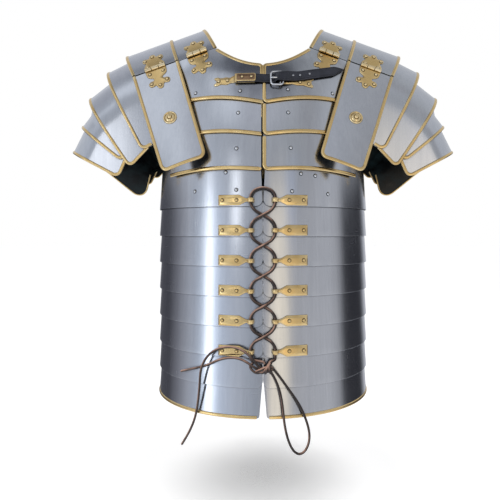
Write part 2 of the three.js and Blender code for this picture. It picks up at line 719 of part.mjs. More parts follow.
function hingePlate() {
  const places = [hingePlateOuter, (hingePlateOuter + hingePlateInner) / 2, hingePlateInner];
  const stations = places.map((reach) => ({ x: -reach, lift: -steelThickness / 2, z: -strapLevel }));
  return breastStrip(stations, fittingHeight, fittingThickness + steelThickness / 2);
}

function addYoke() {
  for (const [sideName, side] of sides) {
    const fittings = side < 0 ? [hingePlate()] : [];
    addPiece(`chest_plate_1_${sideName}`, topPlateHinged(side, 1, chestNeckDrop, fittings), steel);
    addPiece(`back_plate_1_${sideName}`, topPlateHinged(side, -1, backNeckDrop, []), steel);
    for (let row = 1; row < plateRows; row += 1) {
      addPiece(`chest_plate_${row + 1}_${sideName}`, lowPlate(row, side, 1), steel);
      addPiece(`back_plate_${row + 1}_${sideName}`, lowPlate(row, side, -1), steel);
    }
  }
}

// Upper arm lames
const lameHalfDepths = lameDepthInsets.map((inset) => archHalfDepth - inset);
const pivotW = guardOuterEdge + lamePivotOverhang;
const lamePivotReach = pivotW * Math.cos(shoulderSlope) - lamePivotDepth * Math.sin(shoulderSlope);
const lamePivotDrop = pivotW * Math.sin(shoulderSlope) + lamePivotDepth * Math.cos(shoulderSlope);
const facetDrop = (1 - Math.cos(hingeAngle / archSegments)) * archHeight;
const guardClearance = shoulderTop - facetDrop - steelThickness + lamePivotDepth;

function lameProfile(lame, nested) {
  if (!nested) return { radius: lameRadii[lame], depth: lameHalfDepths[lame] };
  if (lame === 0) {
    const topFacet = Math.cos(THREE.MathUtils.degToRad(lameArcAngles[lameArcAngles.length - 1]));
    const reach = (guardClearance - lameGap - lameLegCentre) / topFacet;
    return { radius: lameLegCentre + reach, depth: lameHalfDepths[0] };
  }
  const under = steelThickness + lameGap;
  return { radius: lameRadii[lame - 1] - under, depth: lameHalfDepths[lame - 1] - under };
}

// Angle of an edge that looks straight from the front, at a share of the way down the leg
function straightEdgeAngle(topRadius, topAngle, legRadius, legAngle, share) {
  const [a, b] = [topAngle, legAngle].map(THREE.MathUtils.degToRad);
  const across = topRadius * Math.sin(a) * (1 - share) + legRadius * Math.sin(b) * share;
  const up = topRadius * Math.cos(a) * (1 - share) + legRadius * Math.cos(b) * share;
  return Math.atan2(across, up);
}

function lamePoint(lame, side, row, station, depth) {
  const { front, arc, leg } = station;
  const { radius, depth: halfDepth } = lameProfile(lame, row === 0);
  const legRadius = (front ? lameFrontLegRadii : lameBackLegRadii)[lame];
  const angle = THREE.MathUtils.degToRad(arc);
  const archRadius = lameLegCentre + (radius - depth - lameLegCentre) * Math.cos(angle);
  const at = leg ? legRadius : archRadius;
  const share = (radius - at) / (radius - legRadius);
  const starts = front ? lameFrontStartAngles : lameBackStartAngles;
  const edges = front ? lameFrontEdgeAngles : lameBackEdgeAngles;
  const tops = [lameStartAngles[lame] - lameTuckAngle, lameStartAngles[lame], lameEdgeAngles[lame]];
  const legs = [starts[lame] - lameTuckAngle, starts[lame], edges[lame]];
  const turn = straightEdgeAngle(radius, tops[row], legRadius, legs[row], THREE.MathUtils.clamp(share, 0, 1));
  const y = (front ? -1 : 1) * (halfDepth - depth) * Math.sin(angle);
  const x = lamePivotReach + at * Math.sin(turn);
  return new THREE.Vector3(side * x, y, at * Math.cos(turn) - lamePivotDrop);
}

function lameStations() {
  const front = lameArcAngles.map((arc) => ({ front: true, arc, leg: false }));
  const back = lameArcAngles.map((arc) => ({ front: false, arc, leg: false })).reverse();
  const frontLeg = { front: true, arc: lameArcAngles[0], leg: true };
  const backLeg = { front: false, arc: lameArcAngles[0], leg: true };
  return [frontLeg, ...front, ...back, backLeg];
}

function addLames() {
  for (const [sideName, side] of sides) {
    lameRadii.forEach((radius, lame) => {
      const shell = gridPlate([0, 1, 2], lameStations(), [0, steelThickness], (row, station, depth) => (
        lamePoint(lame, side, row, station, depth)
      ));
      addPiece(`arm_lame_${lame + 1}_${sideName}`, shell, steel);
    });
  }
}

// Leather under the crown of the lames, following every step from the guard to the last lame
function addLameLeathers() {
  const crown = { front: true, arc: lameArcAngles[lameArcAngles.length - 1], leg: false };
  const flatHalfWidth = Math.min(...lameHalfDepths) * Math.sin(THREE.MathUtils.degToRad(crown.arc));
  const lameLeatherHalfWidth = flatHalfWidth - lameLeatherMargin;
  for (const [sideName, side] of sides) {
    const seat = THREE.MathUtils.degToRad(guardSeatAngle);
    const guardReach = (guardClearance - seatGap) / Math.cos(seat - shoulderSlope);
    const route = [[guardSeatAngle, guardReach]];
    const pivot = new THREE.Vector2(lamePivotReach, -lamePivotDrop);
    const reach = (lame, row) => lamePoint(lame, 1, row, crown, steelThickness + seatGap);
    const points = lameRadii.flatMap((radius, lame) => [reach(lame, 0), reach(lame, 1)]);
    const last = lameRadii.length - 1;
    points.push(reach(last, 1).lerp(reach(last, 2), lameLeatherEndShare));
    for (const point of points) {
      const arm = new THREE.Vector2(point.x, point.z).sub(pivot);
      route.push([THREE.MathUtils.radToDeg(Math.atan2(arm.x, arm.y)), arm.length()]);
    }
    const edges = [-lameLeatherHalfWidth, lameLeatherHalfWidth];
    const strip = gridPlate(route, edges, [0, leatherThickness], ([degrees, reach], y, depth) => {
      const turn = THREE.MathUtils.degToRad(degrees);
      const x = pivot.x + (reach - depth) * Math.sin(turn);
      return new THREE.Vector3(side * x, y, pivot.y + (reach - depth) * Math.cos(turn));
    });
    addPiece(`lame_leather_${sideName}`, strip, blackLeather);
  }
}

// Neck strap
function addNeckStrap() {
  const level = -strapLevel;
  const claspPlaces = [-claspOuter, -(claspOuter + claspInner) / 2, -claspInner];
  const clasp = claspPlaces.map((x) => ({ x, lift: fittingSeat, z: level }));
  addPiece("strap_clasp", breastStrip(clasp, claspHeight, claspThickness), brass);
  const onClasp = fittingSeat + claspThickness + seatGap;
  const under = [
    { x: -claspOuter + claspThickness, lift: onClasp, z: level },
    { x: -(claspOuter + claspInner) / 2, lift: onClasp, z: level },
    { x: -claspInner + seatGap, lift: onClasp, z: level },
    { x: 0, lift: strapUnderLift, z: level },
    { x: strapHoleReach, lift: strapUnderLift, z: level },
  ];
  addPiece("closure_strap", breastStrip(under, strapWidth, strapThickness), blackLeather);
  const foldEnd = buckleOuter + buckleBar;
  const along = strapTailShares.map((share) => foldEnd + (strapTailEnd - foldEnd) * share);
  const tailPlaces = [strapTailStart, foldEnd, ...along, strapTailEnd];
  const tail = tailPlaces.map((x, i) => ({
    x,
    lift: i < 2 ? strapOverLift : fittingThickness + fittingSeat + seatGap,
    flat: i < 2,
    z: strapZ(x),
    share: i === tailPlaces.length - 1 ? strapTipShare : 1,
  }));
  const slot = new THREE.BoxGeometry(strapSlotEnd - strapTailStart + cutOverrun, girdleHalfDepth, strapSlot);
  slot.translate((strapSlotEnd + strapTailStart - cutOverrun) / 2, -girdleHalfDepth, level);
  const tailStrip = joined(breastStrip(tail, strapWidth, strapThickness), [], [slot]);
  addPiece("strap_tail", tailStrip, blackLeather);
  addBuckle(level);
}

function addBuckle(level) {
  const face = topPlateFace(buckleInner, level);
  const half = buckleHeight / 2;
  const lean = (topPlateFace(buckleInner, level - half) - topPlateFace(buckleInner, level + half)) / buckleHeight;
  const width = buckleOuter - buckleInner;
  const outline = new THREE.Shape();
  outline.moveTo(0, 0).lineTo(width, 0).lineTo(width, buckleHeight).lineTo(0, buckleHeight).lineTo(0, 0);
  const window = new THREE.Path();
  const far = [width - buckleBar, buckleHeight - buckleBar];
  window.moveTo(buckleBar, buckleBar).lineTo(buckleBar, far[1]).lineTo(far[0], far[1]);
  window.lineTo(far[0], buckleBar).lineTo(buckleBar, buckleBar);
  outline.holes.push(window);
  const frame = new THREE.ExtrudeGeometry(outline, { depth: buckleThickness, bevelEnabled: false });
  frame.translate(buckleInner, -half, buckleLift);
  frame.rotateX(Math.PI / 2 - Math.atan(lean));
  frame.translate(0, -face, level);
  addPiece("buckle_frame", frame, steel);

  const tip = buckleInner + tongueRadius;
  const overBar = buckleLift + buckleThickness + seatGap + tongueRadius;
  const tongueRoute = [[tonguePivot, tongueLift], [strapTailStart, tongueLift], [tip + buckleBar, overBar], [tip, overBar]];
  const shank = tubeAlong(tongueRoute.map(([x, lift]) => [x, -face - lift, level]), 2 * tongueRadius, tongueSteps);
  const pivot = new THREE.CylinderGeometry(tonguePivotRadius, tonguePivotRadius, tonguePivotHeight, knuckleSides);
  pivot.rotateX(Math.PI / 2);
  pivot.translate(tonguePivot, -face - tongueLift, level);
  addPiece("buckle_tongue", joined(pivot, [shank]), steel);

  const places = [buckleOuter + seatGap, (buckleOuter + bucklePlateEnd) / 2, bucklePlateEnd];
  const stations = places.map((x) => ({ x, lift: fittingSeat, z: strapZ(x) }));
  addPiece("buckle_plate", breastStrip(stations, fittingHeight, fittingThickness), brass);
}

// Leather across the back, joining the two upper back plates
function addBackStrap() {
  const places = backStrapShares.map((share) => share * backStrapReach);
  const stations = places.map((x) => ({ x, lift: fittingSeat, z: -backStrapDrop }));
  addPiece("back_strap", breastStrip(stations, strapWidth, strapThickness, -1), blackLeather);
}

// Crossed lacing, up one side and down the other, with one end at each side of the middle
function lacingRoute(face) {
  const out = eyeletForward;
  const reachOfThong = eyeletHeight / 2 + thongDiameter / 2;
  const strand = (lead) => {
    const endX = knotReach + lead * thongDiameter * lacingEndSpreadShare;
    const endZ = knotHalfSizes[2] * knotTopShare + seatGap - knotDrop;
    const bendDrop = reachOfThong + lacingBendDrop;
    const places = [[endX, knotForward, endZ], [endX, knotForward, endZ + thongDiameter / 2]];
    places.push([lead * eyeletOffset, out, tieLevel(tieRows - 1) - bendDrop]);
    for (let row = tieRows - 1; row >= 0; row -= 1) {
      const side = (tieRows - 1 - row) % 2 === 0 ? lead : -lead;
      places.push([side * eyeletOffset, out, tieLevel(row) - reachOfThong]);
      places.push([side * eyeletOffset, out, tieLevel(row) + reachOfThong]);
      if (row > 0) {
        const over = row % 2 === 0 ? lead : -lead;
        const middle = (tieLevel(row) + tieLevel(row - 1)) / 2;
        places.push([0, out + crossingLift + over * crossingSpread, middle]);
      }
    }
    return places;
  };
  const arcTop = [0, out, tieLevel(0) + lacingArcRise];
  const places = [...strand(1), arcTop, ...strand(-1).reverse()];
  return places.map(([x, forward, z]) => [x, -face * forward, z]);
}

function addLacing() {
  addPiece("front_lacing", tubeAlong(lacingRoute(1), thongDiameter, lacingSteps), brownLeather);
  addPiece("back_lacing", tubeAlong(lacingRoute(-1), thongDiameter, lacingSteps), brownLeather);
}

function lyingRoute(route) {
  return route.map(([x, lift, rise]) => [x, -hoopFace(Math.abs(x), 0) - lift, rise - knotDrop]);
}

function addBow() {
  const knot = new THREE.SphereGeometry(1, knotSides, knotSides / 2);
  knot.scale(...knotHalfSizes);
  knot.translate(knotReach, -knotForward, -knotDrop);
  const loop = tubeAlong(lyingRoute(bowRoute), thongDiameter, bowSteps);
  addPiece("lace_bow", joined(knot, [loop]), brownLeather);
  const longEnd = tubeAlong(lyingRoute(longEndRoute), thongDiameter, longEndSteps);
  const shortEnd = tubeAlong(lyingRoute(shortEndRoute), thongDiameter, shortEndSteps);
  addPiece("lace_long_end", longEnd, brownLeather);
  addPiece("lace_short_end", shortEnd, brownLeather);
}

addGirdle();
addGirdleLeathers();
addCollars();
addGuardTops();
addGuardLeaves();
addYoke();
addLames();
addLameLeathers();
addNeckStrap();
addBackStrap();
addLacing();
addBow();

export default part;
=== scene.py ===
import math

import bmesh
import bpy
import numpy as np
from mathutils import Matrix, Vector, geometry


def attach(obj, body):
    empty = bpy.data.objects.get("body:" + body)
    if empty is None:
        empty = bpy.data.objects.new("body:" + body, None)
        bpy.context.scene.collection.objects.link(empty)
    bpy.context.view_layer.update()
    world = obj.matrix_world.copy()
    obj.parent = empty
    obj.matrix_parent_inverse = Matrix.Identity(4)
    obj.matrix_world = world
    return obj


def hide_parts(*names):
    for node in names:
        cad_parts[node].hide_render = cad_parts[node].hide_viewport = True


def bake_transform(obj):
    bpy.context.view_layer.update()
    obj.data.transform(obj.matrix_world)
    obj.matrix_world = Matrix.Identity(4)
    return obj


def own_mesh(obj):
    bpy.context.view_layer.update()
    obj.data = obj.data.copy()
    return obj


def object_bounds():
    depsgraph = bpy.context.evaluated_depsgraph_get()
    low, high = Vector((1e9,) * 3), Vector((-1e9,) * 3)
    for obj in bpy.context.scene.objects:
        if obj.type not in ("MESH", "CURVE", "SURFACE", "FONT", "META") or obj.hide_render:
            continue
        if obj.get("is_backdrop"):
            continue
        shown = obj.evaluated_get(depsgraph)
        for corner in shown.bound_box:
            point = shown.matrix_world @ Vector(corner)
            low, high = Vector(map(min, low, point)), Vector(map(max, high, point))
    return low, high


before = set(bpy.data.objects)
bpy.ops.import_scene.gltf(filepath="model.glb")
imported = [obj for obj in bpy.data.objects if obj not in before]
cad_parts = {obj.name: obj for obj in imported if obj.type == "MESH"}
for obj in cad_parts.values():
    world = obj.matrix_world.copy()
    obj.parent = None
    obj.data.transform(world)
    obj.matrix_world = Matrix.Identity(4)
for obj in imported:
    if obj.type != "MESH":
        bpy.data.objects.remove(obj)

# A segmented plate cuirass, as it stands when worn.
# Lengths are millimetres in the part's own frame: +Z up, the front faces -Y, +X is the wearer's left.
cad_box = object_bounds()
MM = 0.001
SIDES = (("left", 1), ("right", -1))
FACES = (("front", 1), ("rear", -1))

# Sheet
STEEL = 1.0
EDGE_ROUND = 0.25
PLATE_SINK = 0.2
HEART = np.array([0.0, 0.0, -300.0])

# Girdle
GIRDLE_WIDE = 150
GIRDLE_DEEP = 140
BANDS = 8
BAND_PITCH = 36.7
BAND_HEIGHT = 50
TOP_BAND_HEIGHT = 62
TOP_EDGE = -250
BAND_CLEAR = 0.45
BAND_TRAVEL = 14
BAND_LEAN = (STEEL + BAND_CLEAR) / (1 - (BAND_HEIGHT - BAND_PITCH + BAND_TRAVEL) / BAND_HEIGHT) / BAND_HEIGHT
BAND_CORNER = 9
LAST_BAND_CORNER = 3
BAND_GAP = 0.15
BACK_GAP = 0.1
HALF_GIRTH = math.pi * GIRDLE_WIDE
TOP_GAP = 3.2
BOTTOM_GAP = 4.5
TIE_ROWS = 6
TIE_RISE = 7.6
EYELET_X = 14.9
EYELET_OUT = 143.05
THONG = 3

# Shoulders
SLOPE = math.radians(20)
ARCH_TOP = 40.7
ARCH_DEEP = 100
ARCH_DROP = 54.5
HINGE_DEEP = 85
HINGE_ANGLE = math.asin(HINGE_DEEP / ARCH_DEEP)
ARCH_HIGH = ARCH_DROP / (1 - math.cos(HINGE_ANGLE))
COLLAR_STEP = 1.6
COLLAR_END = ARCH_TOP - ARCH_HIGH + (ARCH_HIGH - COLLAR_STEP) * math.cos(HINGE_ANGLE)
COLLAR_IN = 71
COLLAR_NECK_RUN = 5.7
GUARD_IN = 124.5
GUARD_OUT = 187
GUARD_TUCK = 9
GUARD_TOP_RUN = 7
LEAF_LONG = 147
LEAF_TILT = math.asin(0.31973)
LEAF_CROWN = 2.5
LEAF_TAPER = 5.5
LEAF_CORNER = 9
EDGE_GAP = 0.4
HINGE_OUT = 2.1
HINGE_Y = HINGE_DEEP + HINGE_OUT * math.cos(LEAF_TILT)
HINGE_N = ARCH_TOP - ARCH_DROP + HINGE_OUT * math.sin(LEAF_TILT)

# Breast and back
YOKE_LEVELS = [-206, -163.07, -122.01, -73.0, -55.08, -37]
YOKE_DEPTHS = [137.48, 134.54, 126.98, 112.98, 102.06, 89.46]
YOKE_WIDTHS = [154.05, 156, 156, 165, 178.05, 195]
PLATE_GAPS = {(1, 1): 0.3, (-1, 1): 2.2, (1, -1): 0.1, (-1, -1): 0.1}
PLATE_FOOT = 121
PLATE_TOP = 110
PLATE_EDGES = [-122, -163, -206]
PLATE_MID_RISES = [5, 4.5, 3.5]
PLATE_SIDE_RISES = [7, 2, -2.5]
PLATE_OVERLAP = 12
PLATE_FLARE = 2.2
NECK_X = 62
NECK_POWER = 1.95
NECK_DROPS = {1: -68.5, -1: -52}
HINGE_WIDE = 28

# Arm lames
PIVOT = np.array([120.0, 0.0, -225.0])
LAME_CENTRE = 120
LAME_RADII = [202.3, 187.3, 168.4, 163]
LAME_DEPTHS = [84, 80, 76, 72]
LAME_STARTS = [22.8, 32.8, 48.6, 57.5]
LAME_EDGES = [30.6, 43.3, 55.8, 69.2]
LAME_TUCK = 7.5
LAME_LEGS = {
    1: ([24, 30, 52, 56], [37.7, 62.7, 61, 77.3], [65, 64, 79, 76]),
    -1: ([24, 30, 52, 60], [37.7, 62.7, 75, 95], [65, 62, 67, 72]),
}
GUARD_REACH = 207.6

# Neck strap
STRAP_LEVEL = -90.5
BACK_STRAP_LEVEL = -86
STRAP_WIDE = 11
STRAP_THICK = 2
TAIL_END = 104
TAIL_RISE = 20
BUCKLE_IN = 8.6
BUCKLE_OUT = 26.2
BUCKLE_HIGH = 20


def make_camera():
    """The camera looks straight back from about 620 mm in front of the lacing."""
    data = bpy.data.cameras.new("camera")
    data.sensor_width = 36
    data.lens = 36.94
    data.shift_x = -0.026
    data.shift_y = -0.038
    data.clip_start = 0.02
    camera = bpy.data.objects.new("camera", data)
    camera.location = (0, -0.760, -0.280)
    camera.rotation_euler = (math.radians(90), 0, 0)
    bpy.context.scene.collection.objects.link(camera)
    bpy.context.scene.camera = camera


make_camera()


# Small sums
def unit(v):
    return v / max(math.sqrt(v @ v), 1e-9)


def cross(a, b):
    return np.array([a[1] * b[2] - a[2] * b[1], a[2] * b[0] - a[0] * b[2], a[0] * b[1] - a[1] * b[0]])


def lerp(a, b, share):
    return a + (b - a) * share


def clamp(value):
    return min(1.0, max(0.0, value))


def smooth_step(value, low, high):
    t = clamp((value - low) / (high - low))
    return t * t * (3 - 2 * t)


SLOPES = {}


def smooth_read(places, values, place):
    """A smooth read of a table whose places rise, with the table's own slopes."""
    slopes = SLOPES.setdefault(id(values), [float(s) for s in np.gradient(values, places)])
    i = min(max(sum(p < place for p in places) - 1, 0), len(places) - 2)
    step = places[i + 1] - places[i]
    t = (place - places[i]) / step
    if t < 0:
        return values[0] + slopes[0] * (place - places[0])
    if t > 1:
        return values[-1] + slopes[-1] * (place - places[-1])
    a = (1 + 2 * t) * (1 - t) ** 2 * values[i] + t * (1 - t) ** 2 * slopes[i] * step
    return a + t * t * (3 - 2 * t) * values[i + 1] + t * t * (t - 1) * slopes[i + 1] * step


def smooth_line(points, count, closed=False):
    """Points spread evenly along a centripetal curve through the given ones."""
    points = [np.array(p, float) for p in points]
    if closed:
        points = [points[-1]] + points + points[:2]
    else:
        points = [2 * points[0] - points[1]] + points + [2 * points[-1] - points[-2]]
    dense = []
    for p0, p1, p2, p3 in zip(points, points[1:], points[2:], points[3:]):
        t1 = np.linalg.norm(p1 - p0) ** 0.5
        t2 = t1 + np.linalg.norm(p2 - p1) ** 0.5
        t3 = t2 + np.linalg.norm(p3 - p2) ** 0.5
        for t in np.linspace(t1, t2, 16, endpoint=False):
            a1 = p0 * (t1 - t) / t1 + p1 * t / t1
            a2 = p1 * (t2 - t) / (t2 - t1) + p2 * (t - t1) / (t2 - t1)
            a3 = p2 * (t3 - t) / (t3 - t2) + p3 * (t - t2) / (t3 - t2)
            b1 = a1 * (t2 - t) / t2 + a2 * t / t2
            b2 = a2 * (t3 - t) / (t3 - t1) + a3 * (t - t1) / (t3 - t1)
            dense.append(b1 * (t2 - t) / (t2 - t1) + b2 * (t - t1) / (t2 - t1))
    dense.append(points[-2])
    dense = np.array(dense)
    runs = np.concatenate([[0], np.cumsum(np.linalg.norm(np.diff(dense, axis=0), axis=1))])
    wanted = np.linspace(0, runs[-1], count + 1)[: count if closed else count + 1]
    return np.array([[np.interp(w, runs, dense[:, k]) for k in range(dense.shape[1])] for w in wanted])


def outward(surface, u, v):
    """The direction square to a surface, away from the wearer."""
    step = 0.02
    across = surface(u + step, v) - surface(u - step, v)
    down = surface(u, v + step) - surface(u, v - step)
    out = unit(cross(across, down))
    return out if out @ (surface(u, v) - HEART) > 0 else -out


# Finishes
def new_material(name):
    material = bpy.data.materials.new(name)
    material.use_nodes = True
    nodes = material.node_tree.nodes
    shader = nodes["Principled BSDF"]
    return material, material.node_tree, shader


def node(tree, kind, inputs=None, **settings):
    """A node with its settings, and its inputs by name or number: a value, or an output to link."""
    made = tree.nodes.new(kind)
    for key, value in settings.items():
        setattr(made, key, value)
    for key, value in (inputs or {}).items():
        if isinstance(value, bpy.types.NodeSocket):
            tree.links.new(value, made.inputs[key])
        else:
            made.inputs[key].default_value = value
    return made


def new_group(name, inputs, outputs):
    """A node group of number sockets: the inputs with their defaults, and the outputs."""
    tree = bpy.data.node_groups.new(name, "ShaderNodeTree")
    for label, value in inputs.items():
        socket = tree.interface.new_socket(label, in_out="INPUT", socket_type="NodeSocketFloat")
        socket.default_value = value
    for label in outputs:
        tree.interface.new_socket(label, in_out="OUTPUT", socket_type="NodeSocketFloat")
    return tree, tree.nodes.new("NodeGroupInput").outputs, tree.nodes.new("NodeGroupOutput").inputs


def use_group(tree, group, **inputs):
    made = tree.nodes.new("ShaderNodeGroup")
    made.node_tree = group
    for key, value in inputs.items():
        made.inputs[key].default_value = value
    return made.outputs


def math_node(tree, operation, a, b=0.0, clamped=False):
    return node(tree, "ShaderNodeMath", {0: a, 1: b}, operation=operation, use_clamp=clamped).outputs[0]


def plus(tree, a, b, clamped=False):
    return math_node(tree, "ADD", a, b, clamped)


def minus(tree, a, b):
    return math_node(tree, "SUBTRACT", a, b)


def times(tree, a, b):
    return math_node(tree, "MULTIPLY", a, b)


def spread(tree, value, low, high, to_low=0.0, to_high=1.0):
    """The value moved from one range to another and held inside it."""
    return node(tree, "ShaderNodeMapRange", {0: value, 1: low, 2: high, 3: to_low, 4: to_high}).outputs[0]


def stretched_noise(tree, scale, turn=(0, 0, 0), detail=2.0, rough=0.5):
    """Noise on the piece's own coordinates, stretched by a scale per metre on each axis."""
    place = node(tree, "ShaderNodeTexCoord").outputs["Object"]
    turned = node(tree, "ShaderNodeMapping", {0: place, 2: turn, 3: scale}).outputs[0]
    return node(tree, "ShaderNodeTexNoise", {0: turned, 2: 1.0, 3: detail, 4: rough}).outputs[0]


def polish_group():
    """Brushing, haze and hairline scratches of polished sheet."""
    tree, given, result = new_group(
        "polished_sheet", {"Brushing": 0.3, "Scratches": 0.3, "Haze": 0.3}, ["Shade", "Roughness", "Height"]
    )
    fine = stretched_noise(tree, (420, 420, 9), detail=3)
    broad = stretched_noise(tree, (95, 95, 3.2), detail=2)
    haze = stretched_noise(tree, (11, 11, 7), detail=4, rough=0.6)
    brushing = plus(tree, times(tree, fine, 0.55), times(tree, broad, 0.45))
    lines = None
    for scale, turn in (((900, 900, 10), (0.02, 0.03, 0)), ((34, 34, 1500), (0.9, 0.5, 0.2))):
        line = spread(tree, stretched_noise(tree, scale, turn, detail=0), 0.78, 0.86)
        lines = line if lines is None else math_node(tree, "MAXIMUM", lines, line)
    scratch = times(tree, lines, given["Scratches"])
    centred = minus(tree, brushing, 0.5)
    hazed = times(tree, minus(tree, haze, 0.5), given["Haze"])
    streak = times(tree, centred, given["Brushing"])
    shade = minus(tree, plus(tree, streak, hazed), times(tree, scratch, 0.3))
    tree.links.new(shade, result["Shade"])
    tree.links.new(plus(tree, math_node(tree, "ABSOLUTE", hazed), scratch), result["Roughness"])
    tree.links.new(plus(tree, streak, scratch), result["Height"])
    return tree


def rubs_and_hollows_group():
    """Where edges rub bright, and how far a spot lies in a concave hollow, which is coloured darker."""
    tree, given, result = new_group("rubbed_edges_and_hollows", {"Amount": 0.5}, ["Rubbed", "Hollows"])
    point = node(tree, "ShaderNodeNewGeometry").outputs["Pointiness"]
    patchy = stretched_noise(tree, (90, 90, 90), detail=3)
    rubbed = times(tree, spread(tree, point, 0.51, 0.6), spread(tree, patchy, 0.35, 0.6))
    hollows = times(tree, spread(tree, point, 0.49, 0.42), spread(tree, patchy, 0.3, 0.6))
    tree.links.new(times(tree, rubbed, given["Amount"]), result["Rubbed"])
    tree.links.new(times(tree, hollows, given["Amount"]), result["Hollows"])
    return tree


def grain_group():
    """Pebbled leather grain with long creases."""
    tree, given, result = new_group("leather_grain", {"Size": 700.0, "Creases": 0.4}, ["Shade", "Height"])
    place = node(tree, "ShaderNodeTexCoord").outputs["Object"]
    cells = node(tree, "ShaderNodeTexVoronoi", {0: place, 2: given["Size"]}, feature="DISTANCE_TO_EDGE")
    pebbles = spread(tree, cells.outputs[0], 0.0, 0.25)
    crease = spread(tree, stretched_noise(tree, (260, 260, 60), (0.3, 0, 0.2), detail=4), 0.42, 0.5)
    mottle = stretched_noise(tree, (55, 55, 55), detail=4)
    height = plus(tree, pebbles, times(tree, crease, given["Creases"]))
    tree.links.new(mottle, result["Shade"])
    tree.links.new(height, result["Height"])
    return tree


POLISH = polish_group()
RUBS_AND_HOLLOWS = rubs_and_hollows_group()
GRAIN = grain_group()


def mixed(tree, share, a, b):
    made = node(tree, "ShaderNodeMix", {0: share}, data_type="RGBA")
    for socket, value in ((made.inputs[6], a), (made.inputs[7], b)):
        if isinstance(value, bpy.types.NodeSocket):
            tree.links.new(value, socket)
        else:
            socket.default_value = (*value, 1)
    return made.outputs[2]


def seam_shade_share(tree, reach):
    """How far a spot lies in painted shade, where ambient occlusion finds another piece within reach."""
    open_share = node(tree, "ShaderNodeAmbientOcclusion", {"Distance": reach}, samples=8).outputs["AO"]
    return spread(tree, open_share, 0.78, 0.3)


def dark_reflection_share(tree):
    """How far a spot lies in the painted dark reflection round the neck strap."""
    place = node(tree, "ShaderNodeTexCoord").outputs["Object"]
    shift = (0, 0.115 * 11, 0.084 * 18)
    centred = node(tree, "ShaderNodeMapping", {0: place, 1: shift, 3: (15, 11, 18)}).outputs[0]
    away = node(tree, "ShaderNodeVectorMath", {0: centred}, operation="LENGTH").outputs["Value"]
    patchy = times(tree, minus(tree, stretched_noise(tree, (60, 60, 25), detail=3), 0.5), 0.7)
    return spread(tree, plus(tree, away, patchy), 1.05, 0.45)


def dimmed(tone, share):
    return tuple(share * c for c in tone)


def sheet_metal(name, dark, light, rub, rough, brushing, scratches, haze, bump, seam_shade_reach=0.004, dark_reflection=0.0):
    """Polished sheet: two tones of the metal, brushing, scratches, rubbed edges, darker hollows, painted
    shade in the seams between pieces, and if asked for, a painted dark reflection.
    """
    material, tree, shader = new_material(name)
    marks = use_group(tree, POLISH, Brushing=brushing, Scratches=scratches, Haze=haze)
    rubs_and_hollows = use_group(tree, RUBS_AND_HOLLOWS, Amount=0.6)
    tone = mixed(tree, plus(tree, marks["Shade"], 0.5, True), dark, light)
    tone = mixed(tree, rubs_and_hollows["Rubbed"], tone, rub)
    # Concave hollows are coloured darker.
    tone = mixed(tree, rubs_and_hollows["Hollows"], tone, dimmed(dark, 0.25))
    # Painted shade: the colour darkens in the seams between pieces and under their edges.
    tone = mixed(tree, seam_shade_share(tree, seam_shade_reach), tone, dimmed(dark, 0.05))
    # Painted dark reflection: a dark patch in the colour round the neck strap.
    if dark_reflection:
        tone = mixed(tree, times(tree, dark_reflection_share(tree), dark_reflection), tone, (0.075, 0.08, 0.10))
    tree.links.new(tone, shader.inputs["Base Color"])
    roughness = plus(tree, times(tree, marks["Roughness"], 0.5), rough)
    roughness = plus(tree, roughness, times(tree, rubs_and_hollows["Hollows"], 0.2))
    tree.links.new(roughness, shader.inputs["Roughness"])
    bumped = node(tree, "ShaderNodeBump", {"Strength": bump, "Distance": 0.0002, "Height": marks["Height"]})
    tree.links.new(bumped.outputs[0], shader.inputs["Normal"])
    shader.inputs["Metallic"].default_value = 1.0
    return material


def leather(name, dark, light, rough, size, creases, bump, sheen, painted_side_shade=0.0):
    """Dyed leather with pebbled grain, creases and rubbed edges, and if asked for, painted shade on the sides
    turned away from a light up at the front left.
    """
    material, tree, shader = new_material(name)
    grain = use_group(tree, GRAIN, Size=size, Creases=creases)
    rubs_and_hollows = use_group(tree, RUBS_AND_HOLLOWS, Amount=0.8)
    tone = mixed(tree, spread(tree, grain["Shade"], 0.35, 0.68), dark, light)
    tone = mixed(tree, rubs_and_hollows["Rubbed"], tone, tuple(min(1, 2.2 * c + 0.02) for c in light))
    flat = node(tree, "ShaderNodeTexCoord").outputs["Normal"]
    light_side = {0: flat, 1: (-0.5, -0.5, 0.7)}
    toward_light = node(tree, "ShaderNodeVectorMath", light_side, operation="DOT_PRODUCT").outputs["Value"]
    # Painted shade: sides that face away from the light are coloured darker.
    side_shade_share = times(tree, spread(tree, toward_light, 0.88, 0.45), painted_side_shade)
    tone = mixed(tree, side_shade_share, tone, dimmed(dark, 0.2))
    tree.links.new(tone, shader.inputs["Base Color"])
    roughness = spread(tree, grain["Shade"], 0.3, 0.7, rough - 0.08, rough + 0.12)
    tree.links.new(roughness, shader.inputs["Roughness"])
    bumped = node(tree, "ShaderNodeBump", {"Strength": bump, "Distance": 0.0003, "Height": grain["Height"]})
    tree.links.new(bumped.outputs[0], shader.inputs["Normal"])
    shader.inputs["Sheen Weight"].default_value = sheen
    shader.inputs["Sheen Roughness"].default_value = 0.4
    return material


def blackened(name):
    """The dark oiled inside of the sheet, with brush marks and some gloss; its teal patches are a painted
    cool reflection.
    """
    material, tree, shader = new_material(name)
    patches = stretched_noise(tree, (26, 26, 40), detail=4, rough=0.6)
    strokes = stretched_noise(tree, (160, 160, 14), (0.2, 0.4, 0), detail=3)
    # Painted reflection: the teal patches in this colour.
    tone = mixed(tree, spread(tree, patches, 0.45, 0.75), (0.004, 0.005, 0.006), (0.012, 0.03, 0.034))
    tree.links.new(tone, shader.inputs["Base Color"])
    tree.links.new(spread(tree, patches, 0.3, 0.7, 0.22, 0.5), shader.inputs["Roughness"])
    bumped = node(tree, "ShaderNodeBump", {"Strength": 0.4, "Distance": 0.0004, "Height": strokes})
    tree.links.new(bumped.outputs[0], shader.inputs["Normal"])
    shader.inputs["Specular IOR Level"].default_value = 0.35
    return material


